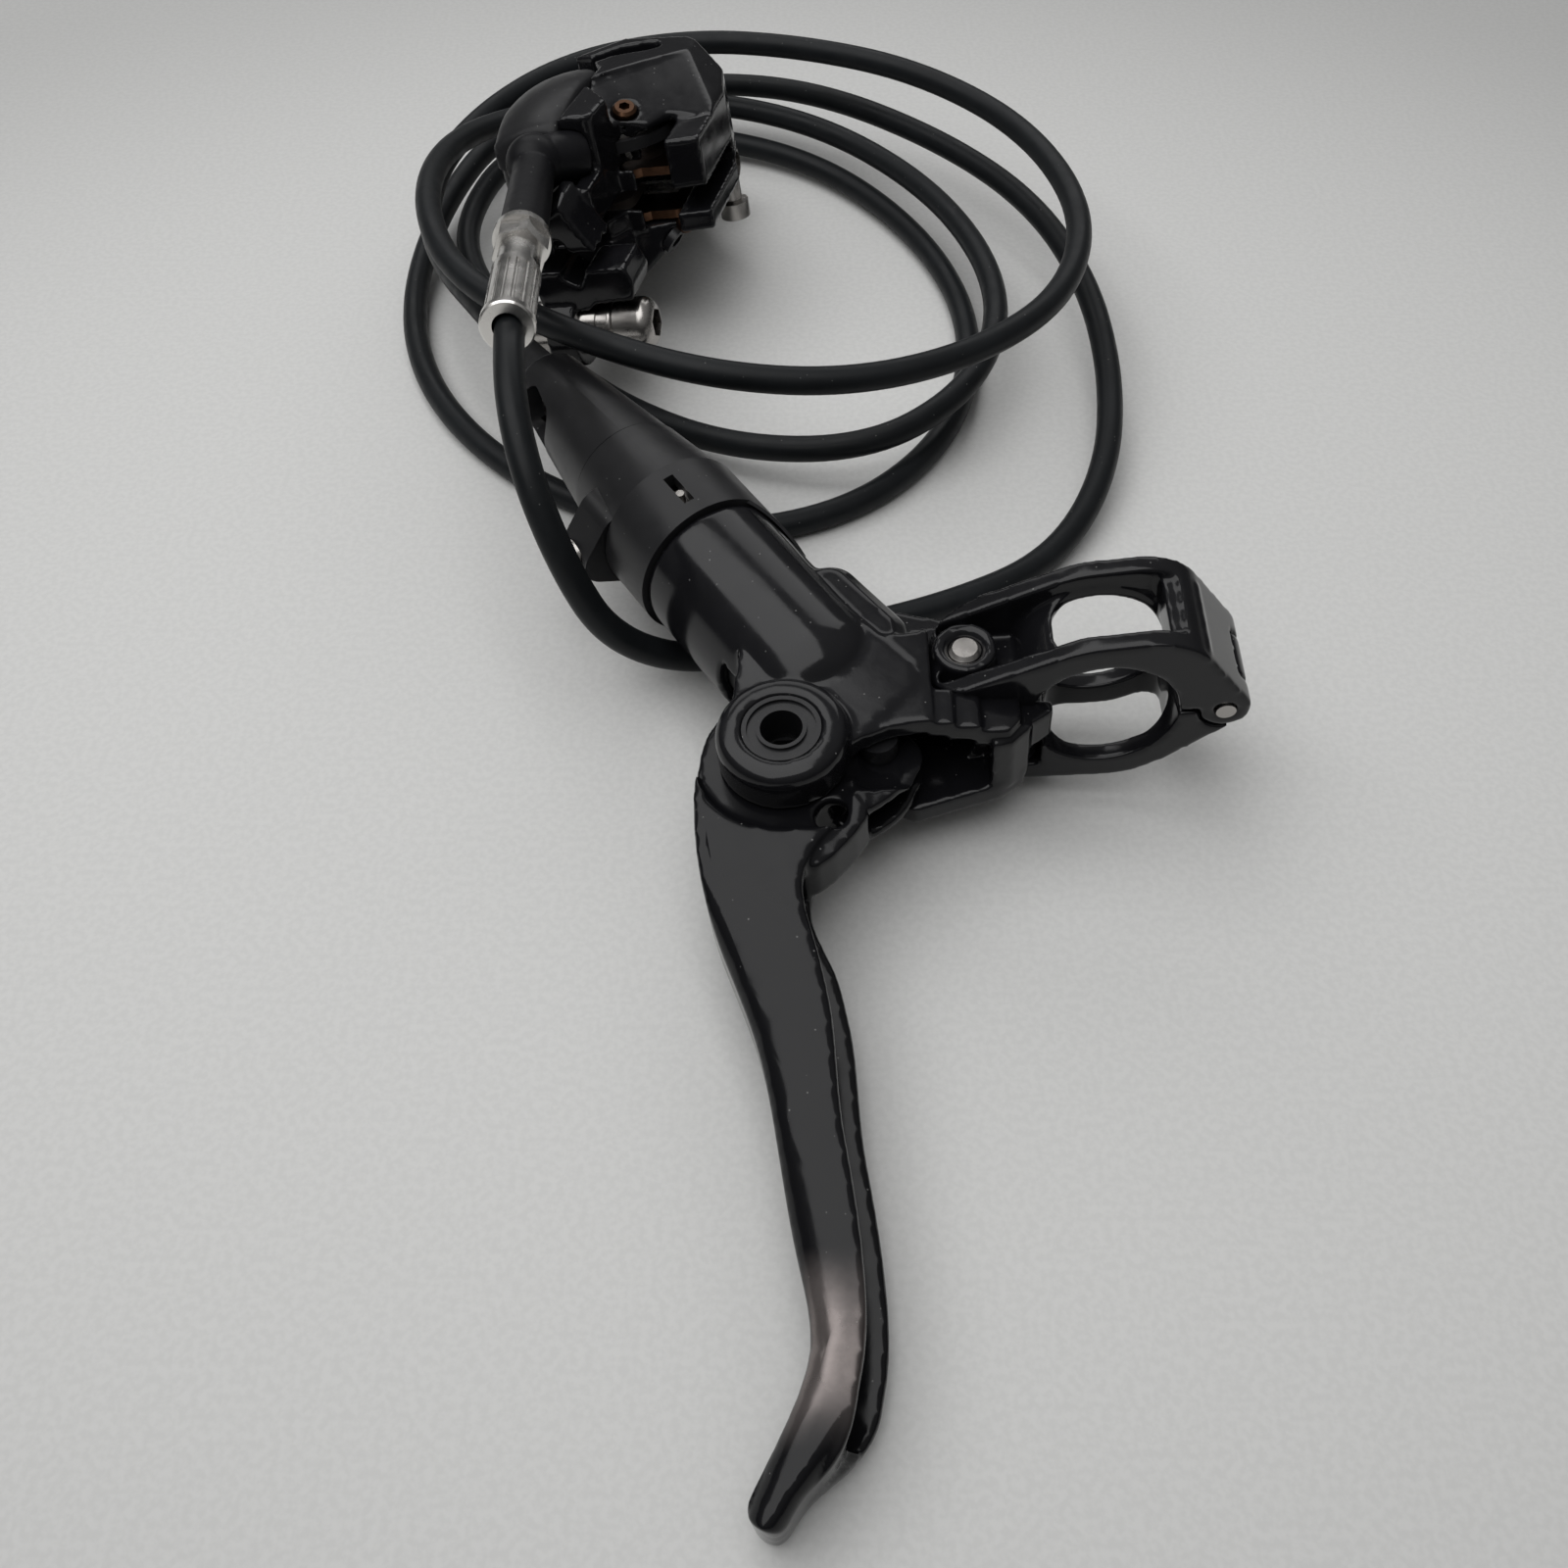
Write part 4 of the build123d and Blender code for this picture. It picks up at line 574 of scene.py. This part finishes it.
def lever_finish():
    """Gloss black lever, worn to bare metal where the finger rests, with a painted highlight on the worn
    metal's sides that face -X.
    """
    values = finish_values()
    material, graph, shader = new_material("Lever lacquer")
    place = graph.add("ShaderNodeTexCoord").outputs["Object"]
    parts = graph.add("ShaderNodeSeparateXYZ", Vector=place)
    pivot = lever_frame().translation.y
    start = graph.span(parts.outputs["Y"], pivot - WORN_BEGINS[0], pivot - WORN_BEGINS[1], 1.0, 0.0)
    end = graph.span(parts.outputs["Y"], pivot - WORN_ENDS[0], pivot - WORN_ENDS[1])
    patch = graph.add("ShaderNodeTexNoise", Vector=place, Scale=70.0, Detail=6.0, Roughness=0.7)
    spots = graph.span(patch.outputs["Fac"], 0.28, 0.62, 0.55, 1.0)
    rubbed = graph.math("MULTIPLY", graph.math("MULTIPLY", start, end), spots)
    normal = graph.add("ShaderNodeNewGeometry").outputs["Normal"]
    flank = graph.add("ShaderNodeSeparateXYZ", Vector=normal)
    rubbed = graph.math("MULTIPLY", rubbed, graph.span(flank.outputs["Z"], 0.1, 0.7))
    rubbed = graph.math("MULTIPLY", rubbed, graph.span(parts.outputs["Z"], *WORN_HEIGHT))
    # Painted highlight: the worn metal is painted brighter on the sides that face -X
    painted_highlight = graph.span(flank.outputs["X"], -0.5, -0.12, 1.0, 0.0)
    metal = graph.mix(painted_highlight, colour(values.worn), colour(scaled(values.worn, WORN_PAINTED_HIGHLIGHT)))
    sheen = use_group(graph, mottle_group(), Scale=260.0, Low=0.1, High=0.2)
    relief = use_grain(graph, LEVER_GRAIN)
    specks = use_group(graph, dust_group(), Scale=900.0, Amount=0.5)
    paint = graph.mix(specks.outputs["Mask"], colour(values.shell), colour(DUST))
    graph.put(shader.inputs["Base Color"], graph.mix(rubbed, paint, metal))
    graph.put(shader.inputs["Metallic"], rubbed)
    matt = graph.math("MULTIPLY", rubbed, WORN_ROUGHNESS)
    graph.put(shader.inputs["Roughness"], graph.math("MAXIMUM", sheen.outputs["Value"], matt))
    graph.put(shader.inputs["Normal"], relief.outputs["Normal"])
    shader.inputs["Specular IOR Level"].default_value = LEVER_SHINE
    return material


def plate_finish():
    """Bare copper on the edges of the pads' plates, much darker on their broad faces."""
    values = finish_values()
    copper = tuple(values.copper)
    material, graph, shader = new_material("Copper plate")
    facing = graph.add(
        "ShaderNodeVectorTransform",
        {"vector_type": "NORMAL", "convert_from": "WORLD", "convert_to": "OBJECT"},
        Vector=graph.add("ShaderNodeNewGeometry").outputs["Normal"],
    )
    along = graph.add("ShaderNodeVectorMath", {"operation": "DOT_PRODUCT"})
    graph.put(along.inputs[0], facing.outputs["Vector"])
    graph.put(along.inputs[1], caliper_frame().to_3x3() @ Vector((0, 0, 1)))
    # Faces turned along the caliper's axis are coloured nearly black, the edges copper
    broad = graph.span(graph.math("ABSOLUTE", along.outputs["Value"], 0.0), 0.5, 0.9)
    wear = use_group(graph, mottle_group(), Scale=380.0, Low=0.35, High=1.0)
    burnt = graph.mix(wear.outputs["Value"], colour(scaled(copper, 0.12)), colour(copper))
    graph.put(shader.inputs["Base Color"], graph.mix(broad, burnt, colour(scaled(copper, 0.04))))
    sheen = use_group(graph, mottle_group(), Scale=180.0, Low=0.3, High=0.5)
    graph.put(shader.inputs["Roughness"], sheen.outputs["Value"])
    relief = use_grain(graph, PLATE_GRAIN)
    graph.put(shader.inputs["Normal"], relief.outputs["Normal"])
    shader.inputs["Metallic"].default_value = 1.0
    return material


def link(piece):
    """Puts a new object into the scene."""
    bpy.context.scene.collection.objects.link(piece)
    return piece


def dress(nodes, material):
    """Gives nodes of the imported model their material."""
    for node in nodes:
        slots = NODES[node].data.materials
        slots.clear()
        slots.append(material)


def add_prism(shape, place, outline, bottom, top):
    """Adds a closed prism, drawn in a tilted frame in millimetres, to a shape."""
    rings = [[shape.verts.new(place @ (Vector((x, y, z)) * MM)) for x, y in outline] for z in (bottom, top)]
    shape.faces.new(list(reversed(rings[0])))
    shape.faces.new(rings[1])
    count = len(outline)
    for here in range(count):
        after = (here + 1) % count
        shape.faces.new((rings[0][here], rings[0][after], rings[1][after], rings[1][here]))


def softened(node, material, voxel, passes, walls=(), place=None):
    """A copy of a cast or moulded node with its edges rounded, which stands for the node."""
    source = NODES[node]
    piece = link(bpy.data.objects.new(node + "_soft", source.data.copy()))
    shape = bmesh.new()
    shape.from_mesh(piece.data)
    for outline, bottom, top in walls:
        add_prism(shape, place, outline, bottom, top)
    shape.to_mesh(piece.data)
    shape.free()
    even = piece.modifiers.new("Even", "REMESH")
    even.mode = "VOXEL"
    even.voxel_size = voxel
    smooth = piece.modifiers.new("Smooth", "SMOOTH")
    smooth.factor = 0.5
    smooth.iterations = passes
    fewer = piece.modifiers.new("Fewer", "DECIMATE")
    fewer.ratio = 0.5
    ready = bpy.data.meshes.new_from_object(piece.evaluated_get(bpy.context.evaluated_depsgraph_get()))
    ready.validate()
    piece.modifiers.clear()
    piece.data = ready
    ready.materials.clear()
    ready.materials.append(material)
    ready.polygons.foreach_set("use_smooth", [True] * len(ready.polygons))
    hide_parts(node)
    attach(piece, source["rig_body"])
    return piece


def step(value, low, high):
    """Rises smoothly from 0 to 1 between two values."""
    share = min(max((value - low) / (high - low), 0.0), 1.0)
    return share * share * (3 - 2 * share)


def edge_at(edge, along):
    """Where an edge of the blade lies across the lever, at a place along it."""
    for (start, first), (end, last) in zip(edge, edge[1:]):
        if along >= end:
            return first + (last - first) * (start - along) / (start - end)
    return edge[-1][1]


def reshape(piece, out, change):
    """Moves a piece's vertices by a function of their place, in millimetres, in a tilted frame."""
    back = out.inverted()
    for vertex in piece.data.vertices:
        moved = change(*((back @ vertex.co) / MM))
        if moved:
            vertex.co = out @ (Vector(moved) * MM)
    piece.data.update()


def crowned(x, y, z):
    """Crowns the blade's finger side and lets its lower flange reach past the upper one."""
    along = -y
    amount = step(along, *BLADE_SHAPED)
    if amount == 0.0:
        return None
    finger = edge_at(FINGER_EDGE, y)
    width = edge_at(BAR_EDGE, y) - finger
    inset = min(max((x - finger) / CROWN, 0.0), 1.0)
    round_off = math.sqrt(1 - (1 - CROWN_EDGE) * (1 - inset) ** 2)
    z *= 1 + (round_off - 1) * amount
    share = (x - finger) / width
    low = step(-z, *LOWER_FLANGE_DEPTH) * step(share, *LOWER_FLANGE_SHARE)
    trim = step(share, *TRIM_SHARE) * step(along, *TRIM_BEGINS) * (1 - step(along, *TRIM_ENDS))
    tip = step(along, *TIP)
    outset = min(max((finger + width - x) / TIP_ROUND, 0.0), 1.0)
    z *= 1 - tip * (1 - math.sqrt(1 - (1 - CROWN_EDGE) * (1 - outset) ** 2))
    x += (LOWER_FLANGE_REACH * low * (1 - tip) - BAR_SIDE_TRIM * trim) * amount
    return x, y, z


def sunk(x, y, z):
    """Lowers the lever's web, which lies deep in the mouth of the casting."""
    inside = step(x, WEB_FROM[0], WEB_FROM[0] + WEB_BLEND) * step(y, WEB_FROM[1], WEB_FROM[1] + WEB_BLEND)
    if inside > 0.0 and z > 0.0:
        return x, y, z * (1 - inside * (1 - WEB_SUNK))
    return None


def round_ended(x, y, z):
    """Draws the clamp half's square end in to a half circle round its bolt."""
    reach = math.hypot(x - ROUND_END_AT[0], y - ROUND_END_AT[1])
    if x < ROUND_END_AT[0] and reach > ROUND_END:
        share = ROUND_END / reach
        x = ROUND_END_AT[0] + (x - ROUND_END_AT[0]) * share
        y = ROUND_END_AT[1] + (y - ROUND_END_AT[1]) * share
        return x, y, z
    return None


def domed(x, y, z):
    """Rounds the top of the caliper's cover down towards its edges."""
    reach = math.hypot((x - COVER_MIDDLE[0]) / COVER_REACH[0], (y - COVER_MIDDLE[1]) / COVER_REACH[1])
    return x, y, z - COVER_DROP * min(reach, COVER_DROP_LIMIT) ** 2 * step(z, *COVER_HEIGHTS)


class BRAKE_OT_stage(bpy.types.Operator):
    """Add the camera, the pale surface and the lamps"""

    bl_idname = "brake.stage"
    bl_label = "Stage"

    def execute(self, context):
        values = context.scene.brake_stage
        camera_data = bpy.data.cameras.new("Camera")
        camera_data.lens = values.lens
        camera_data.sensor_width = SENSOR_WIDTH
        camera_data.clip_start = NEAREST
        camera = link(bpy.data.objects.new("Camera", camera_data))
        camera.location = Vector((0, 0, values.height)) + SHIFT
        camera.rotation_euler = (math.pi / 2 - values.pitch, 0, 0)
        context.scene.camera = camera

        self.surface(tuple(values.floor))
        context.scene.world = self.room()
        for lamp in LAMPS:
            self.lamp(*lamp)
        context.scene.view_settings.view_transform = "Standard"
        return {"FINISHED"}

    def surface(self, base):
        """The pale surface, with a painted pool of light: its colour is a little darker away from the
        brake.
        """
        mesh = bpy.data.meshes.new("Surface")
        reach = SURFACE_REACH
        corners = [(-reach, -reach, 0), (reach, -reach, 0), (reach, reach, 0), (-reach, reach, 0)]
        mesh.from_pydata(corners, [], [(0, 1, 2, 3)])
        floor = link(bpy.data.objects.new("Surface", mesh))
        material, graph, shader = new_material("Pale surface")
        place = graph.add("ShaderNodeTexCoord").outputs["Object"]
        parts = graph.add("ShaderNodeSeparateXYZ", Vector=place)
        across = graph.math("MULTIPLY", parts.outputs["X"], SURFACE_FALLOFF[0])
        ahead = graph.math("ADD", parts.outputs["Y"], -SURFACE_MIDDLE)
        along = graph.math("MULTIPLY", ahead, SURFACE_FALLOFF[1])
        squares = graph.math(
            "ADD", graph.math("MULTIPLY", across, across), graph.math("MULTIPLY", along, along)
        )
        # Painted light: the colour is brighter in the middle and painted darker towards the edges
        shade = graph.span(squares, 0.0, 1.0, *SURFACE_PAINTED_LIGHT)
        grain = graph.add("ShaderNodeTexNoise", Vector=place, Scale=900.0, Detail=4.0).outputs["Fac"]
        fleck = graph.span(grain, 0.35, 0.65, *SURFACE_FLECK)
        tone = graph.add(
            "ShaderNodeVectorMath", {"operation": "SCALE"}, Scale=graph.math("MULTIPLY", shade, fleck)
        )
        graph.put(tone.inputs[0], base)
        graph.put(shader.inputs["Base Color"], tone.outputs["Vector"])
        shader.inputs["Roughness"].default_value = SURFACE_ROUGHNESS
        mesh.materials.append(material)

    def room(self):
        """Grey surroundings that grow lighter upwards."""
        world = bpy.data.worlds.new("Room")
        world.use_nodes = True
        graph = Graph(world.node_tree)
        facing = graph.add("ShaderNodeTexCoord").outputs["Generated"]
        up = graph.add("ShaderNodeSeparateXYZ", Vector=facing).outputs["Z"]
        grey = graph.mix(graph.span(up, 0.05, 0.95), colour(WALL_GREY), colour(CEILING_GREY))
        background = world.node_tree.nodes["Background"]
        graph.put(background.inputs["Color"], grey)
        background.inputs["Strength"].default_value = ROOM_STRENGTH
        return world

    def lamp(self, name, place, target, size, power):
        """A soft rectangular lamp aimed at a point."""
        data = bpy.data.lights.new(name, "AREA")
        data.shape = "RECTANGLE"
        data.size, data.size_y = size
        data.energy = power
        lamp = link(bpy.data.objects.new(name, data))
        lamp.location = place
        lamp.rotation_euler = (Vector(target) - Vector(place)).to_track_quat("-Z", "Y").to_euler()


class BRAKE_OT_hose(bpy.types.Operator):
    """Lay the hose in its loops"""

    bl_idname = "brake.hose"
    bl_label = "Hose"

    def execute(self, context):
        values = context.scene.brake_hose
        curve = bpy.data.curves.new("Hose line", "CURVE")
        curve.dimensions = "3D"
        spline = curve.splines.new("NURBS")
        spline.points.add(len(HOSE_ROUTE) - 1)
        for point, place in zip(spline.points, HOSE_ROUTE):
            point.co = (*(Vector(place) + SHIFT), 1.0)
        spline.order_u = 3
        spline.use_endpoint_u = True
        spline.resolution_u = 10
        curve.bevel_depth = values.diameter / 2
        curve.bevel_resolution = values.sides
        curve.use_fill_caps = True
        piece = link(bpy.data.objects.new("hose_line", curve))
        base = tuple(finish_values().hose)
        jacket = lacquer("Hose jacket", base, 0.34, 0.5, shine=0.16, grain=HOSE_GRAIN, dust=0.35)
        curve.materials.append(jacket)
        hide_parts("hose")
        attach(piece, "base")
        return {"FINISHED"}


class BRAKE_OT_castings(bpy.types.Operator):
    """Round the edges of the lacquered castings and give them their finish"""

    bl_idname = "brake.castings"
    bl_label = "Castings"

    def execute(self, context):
        values = context.scene.brake_finish
        lever = lever_frame()
        caliper = caliper_frame()
        shell = lacquer("Gloss lacquer", tuple(values.shell), values.gloss - 0.03, values.gloss + 0.05)
        satin = lacquer("Satin lacquer", tuple(values.satin), 0.3, 0.42, shine=0.2, grain=SATIN_GRAIN)
        softened("master_body", shell, COARSE, 16, ARM_WALLS, lever)
        softened("caliper_outboard", shell, MIDDLING, 16, OUTBOARD_WALLS, caliper)
        softened("caliper_inboard", shell, MIDDLING, 14, INBOARD_WALLS, caliper)
        reshape(softened("caliper_cover", satin, FINEST, 60), caliper, domed)
        reshape(softened("clamp_upper", shell, FINE, 20, BAND_END, lever), lever, round_ended)
        softened("clamp_lower", shell, FINE, 16)
        softened("elbow", lacquer("Elbow lacquer", tuple(values.shell), 0.34, 0.46, shine=0.14), FINEST, 14)
        blade = softened("lever_blade", lever_finish(), COARSE, 22, LEVER_ROOT, lever)
        reshape(blade, lever, crowned)
        reshape(blade, lever, sunk)
        return {"FINISHED"}


class BRAKE_OT_turned(bpy.types.Operator):
    """Give the barrel's rings, sleeve and cap and the rubber parts their finishes"""

    bl_idname = "brake.turned"
    bl_label = "Rings and cap"

    def execute(self, context):
        values = context.scene.brake_finish
        base = tuple(values.satin)
        dress(("contact_ring",), lacquer("Ring lacquer", base, 0.32, 0.42))
        dress(("bleed_sleeve", "hose_cap"), lacquer("Moulded black", base, 0.28, 0.4))
        dress(RUBBER_NODES, lacquer("Rubber", base, 0.5, 0.62))
        return {"FINISHED"}


class BRAKE_OT_metal(bpy.types.Operator):
    """Give bolts, washers, fittings and pads their metal finishes"""

    bl_idname = "brake.metal"
    bl_label = "Metal parts"

    def execute(self, context):
        values = context.scene.brake_finish
        bronze = bare_metal("Dark bronze", scaled(values.copper, 0.3), 0.25, 0.4)
        dress(STEEL_NODES, bare_metal("Stainless steel", tuple(values.steel), 0.16, 0.34))
        dress(PLATED_NODES, bare_metal("Nickel plate", tuple(values.plated), 0.14, 0.3))
        dress(COPPER_NODES, plate_finish())
        dress(("caliper_bleed_screw",), bronze)
        self.retainer(bronze)
        dress(OXIDE_NODES, lacquer("Black oxide", BLACK_OXIDE, 0.24, 0.36))
        dress(FRICTION_NODES, lacquer("Friction compound", FRICTION, 0.7, 0.85))
        return {"FINISHED"}

    def retainer(self, material):
        """Adds the domed end of the screw that keeps the pads' pin in."""
        shape = bmesh.new()
        bmesh.ops.create_uvsphere(shape, u_segments=32, v_segments=20, radius=RETAINER_DIAMETER / 2 * MM)
        mesh = bpy.data.meshes.new("Retainer")
        shape.to_mesh(mesh)
        shape.free()
        mesh.polygons.foreach_set("use_smooth", [True] * len(mesh.polygons))
        mesh.materials.append(material)
        piece = link(bpy.data.objects.new("retainer", mesh))
        piece.matrix_world = caliper_frame() @ Matrix.Translation(Vector(RETAINER_AT) * MM)
        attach(piece, "base")


class BRAKE_PT_panel(bpy.types.Panel):
    """Buttons for the brake's pieces"""

    bl_label = "Brake"
    bl_idname = "BRAKE_PT_panel"
    bl_space_type = "VIEW_3D"
    bl_region_type = "UI"
    bl_category = "Brake"

    def draw(self, context):
        for operator in OPERATORS:
            self.layout.operator(operator.bl_idname)


OPERATORS = (BRAKE_OT_stage, BRAKE_OT_hose, BRAKE_OT_castings, BRAKE_OT_turned, BRAKE_OT_metal)
GROUPS = (BrakeFinish, BrakeStage, BrakeHose)


def register():
    """Registers the add-on's classes and settings."""
    for item in GROUPS + OPERATORS + (BRAKE_PT_panel,):
        bpy.utils.register_class(item)
    bpy.types.Scene.brake_finish = PointerProperty(type=BrakeFinish)
    bpy.types.Scene.brake_stage = PointerProperty(type=BrakeStage)
    bpy.types.Scene.brake_hose = PointerProperty(type=BrakeHose)


def unregister():
    """Takes the add-on's classes and settings away."""
    del bpy.types.Scene.brake_hose
    del bpy.types.Scene.brake_stage
    del bpy.types.Scene.brake_finish
    for item in reversed(GROUPS + OPERATORS + (BRAKE_PT_panel,)):
        bpy.utils.unregister_class(item)


def main():
    """Registers the add-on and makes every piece."""
    register()
    bpy.ops.brake.stage()
    bpy.ops.brake.hose()
    bpy.ops.brake.castings()
    bpy.ops.brake.turned()
    bpy.ops.brake.metal()


if __name__ == "__main__":
    main()
